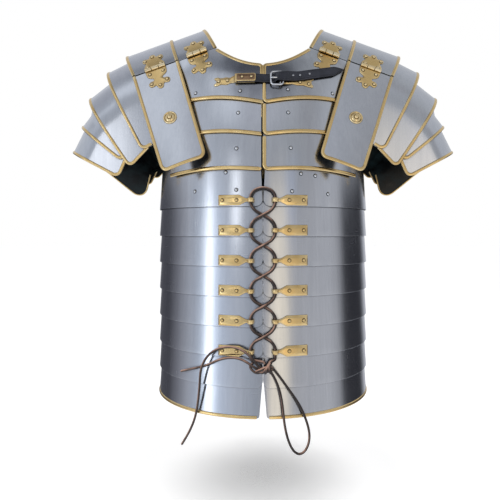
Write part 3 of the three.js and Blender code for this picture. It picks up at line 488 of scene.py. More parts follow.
STEEL_TONES = ((0.45, 0.475, 0.525), (0.67, 0.69, 0.735), (0.85, 0.87, 0.9))
STEEL_MARKS = dict(rough=0.2, brushing=0.8, scratches=0.12, haze=0.35, bump=0.14, seam_shade_reach=0.007)
MATERIALS = {
    "steel": sheet_metal("polished_steel", *STEEL_TONES, **STEEL_MARKS),
    # Steel with a painted dark reflection round the neck strap, for the top breast plates.
    "dark_reflection_steel": sheet_metal("steel_painted_dark_reflection", *STEEL_TONES, **STEEL_MARKS, dark_reflection=0.6),
    "fitting_steel": sheet_metal(
        "fitting_steel", (0.5, 0.52, 0.56), (0.78, 0.8, 0.83), (0.9, 0.9, 0.92),
        rough=0.16, brushing=0.3, scratches=0.2, haze=0.6, bump=0.1,
    ),
    "brass": sheet_metal(
        "polished_brass", (0.62, 0.415, 0.165), (0.98, 0.725, 0.335), (1, 0.86, 0.54),
        rough=0.24, brushing=0.4, scratches=0.2, haze=1.2, bump=0.15, seam_shade_reach=0.003,
    ),
    # A lighter copy of the brass for rivets, knuckles and the rosette: its lighter tones are a painted
    # highlight, its lower roughness its own.
    "bright_brass": sheet_metal(
        "brass_painted_highlight", (0.75, 0.54, 0.25), (1, 0.82, 0.48), (1, 0.9, 0.66),
        rough=0.16, brushing=0.3, scratches=0.2, haze=1.2, bump=0.1, seam_shade_reach=0.0025,
    ),
    "bronze": sheet_metal(
        "tarnished_bronze", (0.16, 0.09, 0.05), (0.34, 0.2, 0.12), (0.7, 0.5, 0.3),
        rough=0.3, brushing=0.4, scratches=0.2, haze=1.2, bump=0.2, seam_shade_reach=0.003,
    ),
    "inside": blackened("oiled_inside"),
    "black_leather": leather(
        "black_leather", (0.004, 0.005, 0.010), (0.012, 0.014, 0.024),
        rough=0.42, size=900, creases=0.4, bump=0.25, sheen=0.0,
    ),
    "brown_leather": leather(
        "brown_thong", (0.04, 0.02, 0.015), (0.46, 0.27, 0.20),
        rough=0.3, size=1500, creases=0.5, bump=0.25, sheen=0.05, painted_side_shade=0.96,
    ),
}


# Meshes
def add_piece(name, places, faces, finish, body, replaced=(), inner=None, sharp=40):
    """A mesh piece of one finish, riding on a body. The faces in inner take the inside's finish."""
    mesh = bpy.data.meshes.new(name)
    corners = [tuple(float(c) * MM for c in p) for p in places]
    mesh.from_pydata(corners, [], [list(map(int, f)) for f in faces])
    mesh.materials.append(MATERIALS[finish])
    if inner is not None:
        mesh.materials.append(MATERIALS["inside"])
        mesh.polygons.foreach_set("material_index", [int(i in inner) for i in range(len(faces))])
    work = bmesh.new()
    work.from_mesh(mesh)
    bmesh.ops.remove_doubles(work, verts=work.verts, dist=1e-6)
    bmesh.ops.recalc_face_normals(work, faces=work.faces)
    work.to_mesh(mesh)
    work.free()
    mesh.polygons.foreach_set("use_smooth", [True] * len(mesh.polygons))
    mesh.set_sharp_from_angle(angle=math.radians(sharp))
    obj = bpy.data.objects.new(name, mesh)
    bpy.context.scene.collection.objects.link(obj)
    if body:
        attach(obj, body)
    if replaced:
        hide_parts(*replaced)
    return obj


def soften(obj):
    """A small round on the sheet's hard edges."""
    bevel = obj.modifiers.new("edge_round", "BEVEL")
    bevel.width = EDGE_ROUND * MM
    bevel.segments = 2
    bevel.limit_method = "ANGLE"
    bevel.angle_limit = math.radians(50)
    bevel.harden_normals = False
    return obj


def shell_faces(rows, columns):
    """Faces of a closed sheet of outer and inner places, and which of them face inward."""
    at = lambda face, r, c: (face * rows + r) * columns + c
    outer, inner, rim = [], [], []
    for r in range(rows - 1):
        for c in range(columns - 1):
            outer.append((at(0, r, c), at(0, r, c + 1), at(0, r + 1, c + 1), at(0, r + 1, c)))
            inner.append((at(1, r, c), at(1, r + 1, c), at(1, r + 1, c + 1), at(1, r, c + 1)))
    for c in range(columns - 1):
        for r in (0, rows - 1):
            rim.append((at(0, r, c), at(1, r, c), at(1, r, c + 1), at(0, r, c + 1)))
    for r in range(rows - 1):
        for c in (0, columns - 1):
            rim.append((at(0, r, c), at(0, r + 1, c), at(1, r + 1, c), at(1, r, c)))
    faces = inner + rim + outer
    return faces, set(range(len(inner) + len(rim)))


def bent_sheet(name, surface, spots, body, replaced=(), finish="steel"):
    """A sheet laid on a surface by rows of (u, v) spots, with its thickness toward the wearer."""
    outer, inner = [], []
    for row in spots:
        for u, v in row:
            place = surface(u, v)
            outer.append(place)
            inner.append(place - outward(surface, u, v) * STEEL)
    faces, inward = shell_faces(len(spots), len(spots[0]))
    return soften(add_piece(name, outer + inner, faces, finish, body, replaced, inward))


def ring_faces(count, size, closed=False):
    """Faces between rings of places, one after another, with the ends capped unless the row closes."""
    faces = []
    for i in range(count if closed else count - 1):
        a, b = i * size, (i + 1) % count * size
        faces += [(a + k, a + (k + 1) % size, b + (k + 1) % size, b + k) for k in range(size)]
    if not closed:
        faces += [tuple(range(size)), tuple(range((count - 1) * size, count * size))]
    return faces


def swept(name, places, ups, profile, finish, body, closed=False, replaced=(), sharp=40):
    """A profile of (inward, out) offsets carried along places. ups gives the out direction at each."""
    count = len(places)
    rings = []
    for i, (place, up) in enumerate(zip(places, ups)):
        before = places[(i - 1) % count] if closed or i > 0 else place
        after = places[(i + 1) % count] if closed or i < count - 1 else place
        along = unit(after - before)
        out = unit(up - along * (up @ along))
        inward = cross(out, along)
        rings += [place + inward * b + out * n for b, n in profile]
    faces = ring_faces(count, len(profile), closed)
    return add_piece(name, rings, faces, finish, body, replaced, sharp=sharp)


BINDING_FRONT = [
    (-0.95, -0.5), (-0.85, 0.25), (-0.35, 0.8), (0.45, 1.08),
    (1.4, 1.12), (2.35, 0.9), (3.1, 0.5), (3.35, -0.1),
]
BINDING = BINDING_FRONT + [(2.6, -1.3), (0.8, -1.45), (-0.4, -1.35), (-0.85, -1.0)]
THIN_BACK = BINDING_FRONT + [(0.9, -1.2), (0.2, -1.25), (-0.5, -1.2)]


def binding(name, surface, spots, inside, body, width=1.0, shape=BINDING):
    """Brass folded over a sheet's edge. inside is a spot on the sheet, beside the middle of the run."""
    places = np.array([surface(u, v) for u, v in spots])
    ups = [outward(surface, u, v) for u, v in spots]
    middle = len(places) // 2
    along = places[middle + 1] - places[middle - 1]
    toward = surface(*inside) - places[middle]
    flip = cross(ups[middle], along) @ toward < 0
    profile = [(-b * width if flip else b * width, n) for b, n in shape]
    return swept(name, places, ups, profile, "brass", body, sharp=60)


def lathe_parts(profile, sides, place, out):
    """Places and faces of a turned shape standing on a place: profile is (radius, height), top last."""
    out = unit(out)
    east = unit(cross(out, [0.3, 0.9, 0.2]))
    north = cross(out, east)
    turns = [2 * math.pi * k / sides for k in range(sides)]
    places = [
        place + (east * math.cos(turn) + north * math.sin(turn)) * radius + out * height
        for radius, height in profile
        for turn in turns
    ]
    return places, ring_faces(len(profile), sides)


RIVET = [
    (0.8, -0.45), (0.92, 0.0), (1.0, 0.2), (0.96, 0.5),
    (0.8, 0.8), (0.5, 1.02), (0.2, 1.12), (0.04, 1.14),
]
# Profile of the dark ring round each rivet's foot, in the inside's finish: a painted shadow.
RIVET_SHADOW_RING = [(1.32, -0.3), (1.32, 0.03), (1.2, 0.1), (0.9, 0.12)]
RIVET_SIDES = 14


def rivets(name, surface, spots, radius, finish, body, lift=0.0):
    """Round-headed rivets through a surface, each with a dark ring at its foot that is a painted shadow."""
    shape = [(r * radius, h * radius * 0.8) for r, h in RIVET]
    foot = [(radius * r, h) for r, h in RIVET_SHADOW_RING]
    for part, part_finish, turned in (("", finish, shape), ("_shadow_rings", "inside", foot)):
        places, faces = [], []
        for u, v in spots:
            out = outward(surface, u, v)
            more, rings = lathe_parts(turned, RIVET_SIDES, surface(u, v) + out * lift, out)
            faces += [tuple(i + len(places) for i in f) for f in rings]
            places += more
        add_piece(name + part, places, faces, part_finish, body)


def inset_outline(outline, amount):
    """The outline moved inward by an amount."""
    count = len(outline)
    area = sum(a[0] * b[1] - b[0] * a[1] for a, b in zip(outline, np.roll(outline, -1, axis=0)))
    turn = 1 if area > 0 else -1
    moved = []
    for i in range(count):
        along = unit(outline[(i + 1) % count] - outline[i - 1])
        moved.append(outline[i] + turn * amount * np.array([-along[1], along[0]]))
    return np.array(moved)


def inside_outline(point, outline):
    hit = False
    for a, b in zip(outline, np.roll(outline, -1, axis=0)):
        if (a[1] > point[1]) != (b[1] > point[1]):
            if point[0] < a[0] + (b[0] - a[0]) * (point[1] - a[1]) / (b[1] - a[1]):
                hit = not hit
    return hit


def cut_plate(name, surface, outline, thickness, finish, body, lift=0.0, pitch=3.0, round_by=0.3):
    """A thin plate cut to an outline of (u, v) spots and bent to a surface, with its rim rounded over."""
    outline = np.array(outline, float)
    rim = inset_outline(outline, round_by)
    fill = inset_outline(outline, round_by + pitch * 0.45)
    low, high = rim.min(axis=0), rim.max(axis=0)
    field = [
        (u, v)
        for u in np.arange(low[0], high[0], pitch)
        for v in np.arange(low[1], high[1], pitch)
        if inside_outline((u, v), fill)
    ]
    flat = [Vector(p) for p in rim] + [Vector(p) for p in field]
    loop = [(i, (i + 1) % len(rim)) for i in range(len(rim))]
    spots, _, faces, *_ = geometry.delaunay_2d_cdt(flat, loop, [], 1, 1e-5)
    count = len(outline)

    def stand(spot, height):
        return surface(*spot) + outward(surface, *spot) * (lift + height)

    places = [stand(s, thickness) for s in spots]
    top = len(places)
    places += [stand(s, thickness - round_by) for s in outline]
    places += [stand(s, -PLATE_SINK) for s in outline]
    near = [min(range(len(spots)), key=lambda k: (spots[k] - Vector(p)).length) for p in rim]
    faces = [tuple(f) for f in faces]
    for i in range(count):
        j = (i + 1) % count
        faces.append((near[i], near[j], top + j, top + i))
        faces.append((top + i, top + j, top + count + j, top + count + i))
    faces.append(tuple(top + count + i for i in range(count)))
    return add_piece(name, places, faces, finish, body, sharp=50)


BAR_TURNS = np.linspace(0, 2 * math.pi, 12, endpoint=False)


def round_bar(name, places, radius, finish, body, closed=False, replaced=()):
    """A bar or thong of round section along places, with a steady up direction."""
    along = places[1] - places[0]
    steep = abs(unit(along)[2]) >= 0.9
    up = unit(cross(along, [0, 1, 0] if steep else [0.13, 0.21, 0.97]))
    ups = []
    for i in range(len(places)):
        along = unit(places[min(i + 1, len(places) - 1)] - places[max(i - 1, 0)])
        up = unit(up - along * (up @ along))
        ups.append(up)
    ring = [(radius * math.cos(a), radius * math.sin(a)) for a in BAR_TURNS]
    return swept(name, places, ups, ring, finish, body, closed, replaced, sharp=60)


# Laces. The hanging lengths come before the other pieces
KNOT = np.array([5, -147.5, -444])
LONG_END = [
    [-4.7, -147.9, -442.0], [-7.6, -149.6, -438.6], [-10.9, -150.8, -434.0], [-15.0, -151.0, -428.4],
    [-21.0, -149.4, -423.2], [-29.0, -146.2, -419.8], [-38.7, -142.0, -418.9], [-49.9, -137.4, -420.8],
    [-59.2, -134.6, -424.3], [-66.4, -132.8, -429.9], [-70.9, -131.6, -436.4], [-74.6, -130.4, -442.7],
    [-76.8, -129.4, -448.8], [-77.8, -127.6, -458.6], [-78.2, -125.4, -469.8], [-79.8, -123.4, -483.8],
    [-81.7, -121.8, -499.1], [-85.9, -119.0, -517.0], [-93.4, -113.6, -534.0],
    [-103.3, -106.5, -551.4],
]
SHORT_END = [
    [-6.2, -147.6, -445.4], [-10.4, -149.3, -443.3], [-15.5, -149.4, -438.8], [-20.0, -147.8, -435.8],
    [-26.0, -145.4, -433.4], [-32.0, -142.8, -432.4], [-40.0, -139.8, -433.0], [-48.0, -137.2, -434.6],
    [-55.0, -134.2, -437.2], [-62.0, -131.2, -441.4], [-69.0, -128.2, -445.2], [-76.5, -124.4, -448.4],
    [-84.0, -120.0, -451.0], [-92.0, -114.7, -453.8], [-104.1, -104.8, -458.8],
]
BOW = [
    [11.0, -147.5, -443.5], [15.5, -146.4, -448.5], [20.5, -145.0, -455.5], [26.8, -143.0, -464.4],
    [34.4, -140.8, -475.7], [41.9, -138.6, -486.7], [47.1, -137.0, -496.2], [51.1, -135.6, -506.4],
    [54.6, -134.4, -516.0], [57.0, -133.5, -525.5], [57.4, -133.3, -533.5], [56.1, -133.8, -541.2],
    [51.6, -135.3, -549.6], [46.0, -137.2, -553.6], [41.2, -138.6, -552.6], [36.6, -139.7, -547.0],
    [32.4, -140.7, -538.6], [28.9, -141.4, -528.0], [26.5, -141.8, -517.4], [24.9, -142.1, -505.9],
    [24.1, -142.2, -494.4], [22.5, -142.6, -482.9], [20.0, -143.4, -471.3], [16.0, -145.0, -460.0],
    [10.0, -147.0, -449.0], [6.5, -147.5, -444.5],
]


def free_lace(name, route, replaced):
    """One hanging length of the thong."""
    places = smooth_line(route, 6 * len(route))
    for _ in range(50):
        places[1:-1] = (places[:-2] + 2 * places[1:-1] + places[2:]) / 4
    lace = round_bar(name, places, THONG / 2, "brown_leather", "girdle_hoop_6", replaced=replaced)


free_lace("lace_long_end_thong", LONG_END, ["lace_long_end"])
free_lace("lace_short_end_thong", SHORT_END, ["lace_short_end"])
free_lace("lace_bow_loop", BOW, ["lace_bow"])


KNOT_STRANDS = (
    [
        (-8.5, -148.6, -447.6), (-3.5, -148.9, -445.6), (1.5, -149.6, -443.2), (6, -149.4, -442.2),
        (10.8, -148.1, -443.4),
    ],
    [
        (-4.7, -147.9, -442.0), (-1.5, -147.2, -444.6), (3, -146.9, -447.2), (7.6, -147.6, -447.6),
        (11.6, -147.5, -445.0),
    ],
    [
        (9.8, -146.4, -437.6), (7.4, -149.8, -440.2), (3.6, -151.2, -444.4), (-0.4, -149.6, -448.6),
        (-4.2, -147.0, -448.8),
    ],
)
KNOT_LOOP = [
    (-2.4, -147.2, -449.0), (-8, -147.4, -449.4), (-13, -147.2, -446.2), (-15.4, -146.6, -441.6),
    (-12, -147.4, -437.6),
]


def add_knot():
    """The ends run on through the knot into the bow, with two turns of thong drawn tight round them."""
    for k, places in enumerate(KNOT_STRANDS):
        line = smooth_line(places, 24)
        round_bar(f"lace_knot_strand_{k + 1}", line, 1.7, "brown_leather", "girdle_hoop_6")
    for k, (x, lean) in enumerate(((4.6, 0.35), (7.9, -0.25))):
        turns = np.linspace(0, 2 * math.pi, 40, endpoint=False)
        ring = [
            (x + lean * 5 * math.sin(t), -147.9 + 3.6 * math.cos(t), -444.6 + 4.9 * math.sin(t))
            for t in turns
        ]
        name = f"lace_knot_turn_{k + 1}"
        round_bar(name, np.array(ring), 1.65, "brown_leather", "girdle_hoop_6", closed=True)
    round_bar("lace_knot_loop", smooth_line(KNOT_LOOP, 30), 1.5, "brown_leather", "girdle_hoop_6")


add_knot()


def tie_level(band):
    return TOP_EDGE - band * BAND_PITCH + TIE_RISE


KNOT_TOP = 5.14
EYELET_REACH = 5.2
LACING_RADIUS = 1.85


def lacing_places(face):
    """Up one side of the eyelets and down the other, crossing between the rows."""
    end_z = KNOT[2] + KNOT_TOP

    def strand(lead):
        end_x = KNOT[0] + lead * THONG
        places = [
            [end_x, 147.5, end_z], [end_x, 147.5, end_z + THONG / 2],
            [lead * EYELET_X * 0.97, EYELET_OUT, tie_level(5) - EYELET_REACH - 3.2],
        ]
        for row in range(TIE_ROWS - 1, -1, -1):
            side = lead if (TIE_ROWS - 1 - row) % 2 == 0 else -lead
            for rise in (-EYELET_REACH, 0, EYELET_REACH):
                places.append([side * (EYELET_X - 0.05 * abs(rise)), EYELET_OUT, tie_level(row) + rise])
            if row > 0:
                over = lead if row % 2 == 0 else -lead
                level = (tie_level(row) + tie_level(row - 1)) / 2
                places.append([side * EYELET_X * 0.7, EYELET_OUT + 0.6, level - 6.4])
                places.append([0, EYELET_OUT + 1.3 + over * 1.95, level])
                places.append([-side * EYELET_X * 0.7, EYELET_OUT + 0.6, level + 6.4])
        return places

    top = tie_level(0)
    crown = [[-10.2, EYELET_OUT, top + 11.4], [0, EYELET_OUT, top + 14.4], [10.2, EYELET_OUT, top + 11.4]]
    places = strand(1) + crown + strand(-1)[::-1]
    return [[x, -face * out, z] for x, out, z in places]


def add_lacing():
    for name, face in (("front", 1), ("back", -1)):
        places = smooth_line(lacing_places(face), 300)
        replaced = [f"{name}_lacing"]
        thong = f"{name}_lacing_thong"
        lace = round_bar(thong, places, LACING_RADIUS, "brown_leather", "shoulder_yoke", replaced=replaced)
        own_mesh(lace)


add_lacing()


# Girdle
def band_body(band):
    return "shoulder_yoke" if band == 0 else f"girdle_hoop_{band + 1}"


def hoop_surface(band):
    """u runs round the hoop from the front middle, signed to the side, and v rises from the lower edge."""
    edge = TOP_EDGE - band * BAND_PITCH

    def surface(u, v):
        angle = u / GIRDLE_WIDE
        inset = BAND_LEAN * v
        x = (GIRDLE_WIDE - inset) * math.sin(angle)
        return np.array([x, -(GIRDLE_DEEP - inset) * math.cos(angle), edge + v])

    return surface


def hoop_u(x, v):
    return GIRDLE_WIDE * math.asin(x / (GIRDLE_WIDE - BAND_LEAN * v))


def corner_runs(radius, steps=6):
    """Run and lift of each place round a rounded corner, from its side to its foot."""
    turns = np.linspace(0, math.pi / 2, steps + 1)
    return [(radius * (1 - math.cos(t)), radius * (1 - math.sin(t))) for t in turns]


def band_gap(band, v):
    if band == 0:
        return BAND_GAP + TOP_GAP * v / TOP_BAND_HEIGHT
    if band == BANDS - 1:
        return BAND_GAP + BOTTOM_GAP * (1 - v / BAND_HEIGHT)
    return BAND_GAP


def band_spots(band, side):
    height = TOP_BAND_HEIGHT if band == 0 else BAND_HEIGHT
    corner = corner_runs(LAST_BAND_CORNER if band == BANDS - 1 else BAND_CORNER)
    rows = []
    for share in np.linspace(0, 1, 7):
        row = []
        for run, lift in corner:
            v = lerp(lift, height, share)
            row.append((side * (band_gap(band, v) + run), v))
        v = lerp(0, height, share)
        start = band_gap(band, v) + corner[-1][0]
        row += [(side * u, v) for u in np.linspace(start, HALF_GIRTH - start, 60)[1:-1]]
        for run, lift in corner[::-1]:
            v = lerp(lift, height, share)
            row.append((side * (HALF_GIRTH - BACK_GAP - run), v))
        rows.append(row)
    return rows


TOP_BAND_RIVETS = {
    1: [(46.6, -209.6), (64.8, -211.5), (35.5, -231.5), (81.5, -233.7)],
    -1: [(45.8, -208), (85.9, -230.2), (32.5, -229.8)],
}
TIE_PLATE = [
    (54.5, -6.0), (54.0, -6.5), (29.0, -6.5), (21.2, -2.3), (18.0, -1.8),
    (18.0, 1.8), (21.2, 2.3), (29.0, 6.5), (54.0, 6.5), (54.5, 6.0),
]
TIE_THICK = 1.1
RING_SIDES = 20
EYELET = [(2.1, -2.5), (3.2, -2.7), (3.8, -2.2), (3.9, 0), (3.8, 2.2), (3.2, 2.7), (2.1, 2.5)]


def turned_ring(name, centre, profile, finish, body):
    """A ring turned about an upright line through its centre."""
    places = []
    for k in range(RING_SIDES):
        turn = 2 * math.pi * k / RING_SIDES
        places += [centre + np.array([r * math.cos(turn), r * math.sin(turn), h]) for r, h in profile]
    return add_piece(name, places, ring_faces(RING_SIDES, len(profile), True), finish, body, sharp=70)


def add_tie_loop(band, side, side_name, face, face_name):
    surface = hoop_surface(band)
    body = band_body(band)
    label = f"{face_name}_tie_{band + 1}_{side_name}"

    def on_hoop(x, rise):
        u = hoop_u(x, TIE_RISE + rise)
        return surface(side * (u if face > 0 else HALF_GIRTH - u), TIE_RISE + rise)

    cut_plate(f"{label}_plate", on_hoop, TIE_PLATE, TIE_THICK, "brass", body, pitch=4)
    rivets(f"{label}_rivets", on_hoop, [(49.6, 0), (31.9, 0)], 1.9, "brass", body, lift=TIE_THICK)
    centre = np.array([side * EYELET_X, -face * EYELET_OUT, tie_level(band)])
    turned_ring(f"{label}_eyelet", centre, EYELET, "brass", body)


def add_girdle():
    for side_name, side in SIDES:
        for band in range(BANDS):
            name = f"girdle_band_{band + 1}_{side_name}"
            surface = hoop_surface(band)
            bent_sheet(f"{name}_sheet", surface, band_spots(band, side), band_body(band), [name])
            if band < TIE_ROWS:
                for face_name, face in FACES:
                    add_tie_loop(band, side, side_name, face, face_name)
        for face_name, face in FACES:
            spots = []
            for x, z in TOP_BAND_RIVETS[side if face > 0 else -side]:
                u = hoop_u(x, z - TOP_EDGE)
                spots.append((side * (u if face > 0 else HALF_GIRTH - u), z - TOP_EDGE))
            name = f"{face_name}_top_band_rivets_{side_name}"
            rivets(name, hoop_surface(0), spots, 2.0, "fitting_steel", "shoulder_yoke")
        low = band_gap(BANDS - 1, 0) + LAST_BAND_CORNER
        rim = [(side * u, 0.0) for u in np.linspace(low, HALF_GIRTH - low, 72)]
        last = hoop_surface(BANDS - 1)
        binding(f"girdle_rim_{side_name}", last, rim, (side * HALF_GIRTH / 2, 10), band_body(BANDS - 1))


add_girdle()


# Shoulders
def from_shoulder(side, w, y, n):
    x = w * math.cos(SLOPE) + n * math.sin(SLOPE)
    return np.array([side * x, y, n * math.cos(SLOPE) - w * math.sin(SLOPE)])


def arch_surface(side, inset):
    """u runs outward along the slope, and v back over the arch as arc length."""

    def surface(u, v):
        angle = v / ARCH_DEEP
        y = (ARCH_DEEP - inset) * math.sin(angle)
        return from_shoulder(side, u, y, ARCH_TOP - ARCH_HIGH + (ARCH_HIGH - inset) * math.cos(angle))

    return surface


def top_share(v):
    return (math.cos(v / ARCH_DEEP) - math.cos(HINGE_ANGLE)) / (1 - math.cos(HINGE_ANGLE))


def leaf_surface(side, face):
    """u runs outward along the slope, and v down the hinged leaf."""

    def surface(u, v):
        across = lerp(-1, 1, (u - GUARD_IN) / (GUARD_OUT - GUARD_IN))
        out = LEAF_CROWN * (1 - across**2) * (v / LEAF_LONG)
        y = HINGE_DEEP + v * math.sin(LEAF_TILT) + out * math.cos(LEAF_TILT)
        n = ARCH_TOP - ARCH_DROP - v * math.cos(LEAF_TILT) + out * math.sin(LEAF_TILT)
        return from_shoulder(side, u, -face * y, n)

    return surface


ARCH_EDGE = HINGE_ANGLE * ARCH_DEEP - EDGE_GAP
UPPER_LEAF = [
    (14, 0), (14, 3.2), (12.4, 6.8), (10.4, 9.6), (10.8, 12.4), (13.6, 14.2), (14.2, 17.4), (12.2, 20.0),
    (8.8, 19.8), (6.4, 18.6), (4.4, 20.2), (3.6, 23.4), (1.6, 25.3),
]
LOWER_LEAF = [
    (14, 0), (14, 5), (12.8, 10.2), (9.4, 12.8), (6.4, 14.4), (5.8, 16.6), (7.6, 18.4), (10.6, 18.4),
    (13.6, 20.2), (14.4, 23.2), (12.4, 26.2), (8.8, 26.2), (5.8, 25.4), (4.4, 27.6), (3.6, 30.2), (1.6, 31.8),
]
UPPER_RIVETS = [(-9, 4.6), (9, 4.6), (-10.6, 16.8), (10.6, 16.8), (0, 21.4)]
LOWER_RIVETS = [(-9, 7.2), (9, 7.2), (-10.6, 22.4), (10.6, 22.4), (0, 27.6)]


def leaf_outline(half):
    """The whole outline of a lobed hinge leaf from one half of it."""
    mirrored = [(-u, v) for u, v in half[::-1]]
    curved = smooth_line([(u, v) for u, v in half[1:]] + mirrored[:-1], 76)
    return [(half[0][0], 0.0)] + [tuple(p) for p in curved] + [(-half[0][0], 0.0)]


HINGE_THICK = 1.1


def add_hinge(label, side, face, centre, radius, upper, lower, upper_body, lower_body):
    """A lobed butt hinge: upper and lower are surfaces whose v runs away from the hinge line."""
    at = lambda surface: (lambda u, v: surface(centre + u, v))
    for name, half, spots, start, surface, body in (
        ("upper", UPPER_LEAF, UPPER_RIVETS, 1.6, upper, upper_body),
        ("lower", LOWER_LEAF, LOWER_RIVETS, 0.3, lower, lower_body),
    ):
        outline = [(u, v + start) for u, v in leaf_outline(half)]
        cut_plate(f"{label}_{name}_leaf", at(surface), outline, HINGE_THICK, "brass", body, pitch=3.2)
        rivets(f"{label}_{name}_rivets", at(surface), spots, 1.95, "bright_brass", body, lift=HINGE_THICK)
    spine = lambda w: from_shoulder(side, centre + w, -face * HINGE_Y, HINGE_N)
    for name, start, end, body in (
        ("knuckle_in", -14, -5.1, upper_body),
        ("knuckle_mid", -4.85, 4.85, lower_body),
        ("knuckle_out", 5.1, 14, upper_body),
    ):
        long = end - start
        shape = [(radius * 0.8, 0), (radius, 0.35), (radius, long - 0.35), (radius * 0.8, long)]
        places, faces = lathe_parts(shape, 16, spine(start), spine(end) - spine(start))
        add_piece(f"{label}_{name}", places, faces, "bright_brass", body)


# Breast and back plates
def hinge_line_z(x):
    return (COLLAR_END - x * math.sin(SLOPE)) / math.cos(SLOPE)


def yoke_face(x, z):
    depth = smooth_read(YOKE_LEVELS, YOKE_DEPTHS, z)
    width = smooth_read(YOKE_LEVELS, YOKE_WIDTHS, z)
    return depth * math.sqrt(max(0.0, 1 - (x / width) ** 2))


def lower_edge_z(row, x):
    share = x / PLATE_FOOT
    return PLATE_EDGES[row] + PLATE_MID_RISES[row] * math.sin(math.pi * share) + PLATE_SIDE_RISES[row] * share


def top_plate_face(x, z):
    x = abs(x)
    edge = lower_edge_z(0, x)
    flare = PLATE_FLARE * max(0, 1 - (z - edge) / (edge - lower_edge_z(1, x)))
    top = hinge_line_z(x)
    share = clamp((z - edge) / (top - edge))
    hinge_y = (ARCH_DEEP - COLLAR_STEP) * math.sin(HINGE_ANGLE)
    sideways = smooth_step(x, NECK_X - HINGE_WIDE, NECK_X)
    return yoke_face(x, z) + flare + (hinge_y - yoke_face(x, top)) * share**2 * sideways


def plate_surface(row, face):
    """u is the signed reach from the middle, and v the level."""

    def surface(u, v):
        if row == 0:
            return np.array([u, -face * top_plate_face(u, v), v])
        x = abs(u)
        edge, upper = lower_edge_z(row, x), lower_edge_z(row - 1, x)
        flare = PLATE_FLARE * (1 - (v - edge) / (upper - edge))
        return np.array([u, -face * (yoke_face(x, v) + flare), v])

    return surface


def neck_z(x, face):
    top = hinge_line_z(NECK_X) - 2 * EDGE_GAP
    return NECK_DROPS[face] + (top - NECK_DROPS[face]) * (x / NECK_X) ** NECK_POWER


def plate_columns(gap, corner, foot, top):
    """Reach at the foot and top of each column, with the lift of the lower corner."""
    runs = corner_runs(corner)
    columns = [(gap + run, gap + run, lift) for run, lift in runs]
    start = gap + runs[-1][0]
    for share in np.linspace(0, 1, 40)[1:]:
        columns.append((lerp(start, foot, share), lerp(start, top, share), 0.0))
    return columns


def plate_spots(row, side, face, corner):
    """Rows of spots from the lower edge up, and the columns with their reach at foot and top and the lift of
    the lower corner.
    """
    gap = PLATE_GAPS[(side, face)] if row > 0 else min(PLATE_GAPS[(side, face)], 0.2)
    columns = plate_columns(gap, corner, PLATE_FOOT, PLATE_TOP if row == 0 else PLATE_FOOT)
    neck_corner = 5
    rows = []
    for share in np.linspace(0, 1, 15):
        spots = []
        for foot, top, lift in columns:
            low = lower_edge_z(row, foot) + lift
            if row > 0:
                high = lower_edge_z(row - 1, top) + PLATE_OVERLAP
            elif top >= NECK_X:
                high = hinge_line_z(top) - EDGE_GAP
            else:
                run = min(neck_corner, top - gap)
                high = neck_z(top, face) - neck_corner + math.sqrt(neck_corner**2 - (neck_corner - run) ** 2)
            spots.append((side * lerp(foot, top, share), lerp(low, high, share)))
        rows.append(spots)
    return rows, columns


CHEST_RIVETS = {
    (0, 1): [(31, -104), (89, -104)], (0, -1): [(28.5, -106), (86, -104)],
    (1, 1): [(31, -134), (88, -133)], (1, -1): [(30.6, -134.3)],
    (2, 1): [(34, -178.5)], (2, -1): [(32.4, -179.2)],
}


def add_plates():
    for side_name, side in SIDES:
        for face_name, face in FACES:
            body = f"chest_{side_name}" if face > 0 else "shoulder_yoke"
            part = "chest" if face > 0 else "back"
            for row in range(3):
                corner = 0.6 if side < 0 and row < 2 else 6.5 if side > 0 else 3
                surface = plate_surface(row, face)
                rows, columns = plate_spots(row, side, face, corner)
                name = f"{part}_plate_{row + 1}_{side_name}"
                # The top breast plates carry the painted dark reflection round the neck strap.
                finish = "dark_reflection_steel" if row == 0 and face > 0 else "steel"
                bent_sheet(f"{name}_sheet", surface, rows, body, [name], finish)
                middle = [r[0] for r in rows][::-1]
                foot = rows[0][1:]
                if row == 0:
                    reach = max(k for k, c in enumerate(columns) if c[1] <= NECK_X - 0.5)
                    neck = rows[-1][1 : reach + 1][::-1]
                    edges = [neck + middle + foot] if side > 0 else [neck + middle[:7], foot]
                else:
                    edges = [middle[4:] + foot] if side > 0 else [foot]
                for k, edge in enumerate(edges):
                    u, v = edge[len(edge) // 2]
                    near = (u, v - 5) if row == 0 and k == 0 else (u, v + 5)
                    if side > 0:
                        near = (side * 60, PLATE_EDGES[row] + 25)
                    binding(f"{name}_edging_{k + 1}", surface, edge, near, body, width=1.1)
                spots = [(side * x, z) for x, z in CHEST_RIVETS[(row, side if face > 0 else -side)]]
                rivets(f"{name}_rivets", surface, spots, 2.0, "fitting_steel", body)


add_plates()


def collar_fall(side, face):
    """The top plate's face, with u along the collar hinge and v down from it."""
    plate = plate_surface(0, face)

    def surface(u, v):
        n = COLLAR_END - v
        x = u * math.cos(SLOPE) + n * math.sin(SLOPE)
        return plate(side * x, n * math.cos(SLOPE) - u * math.sin(SLOPE))

    return surface


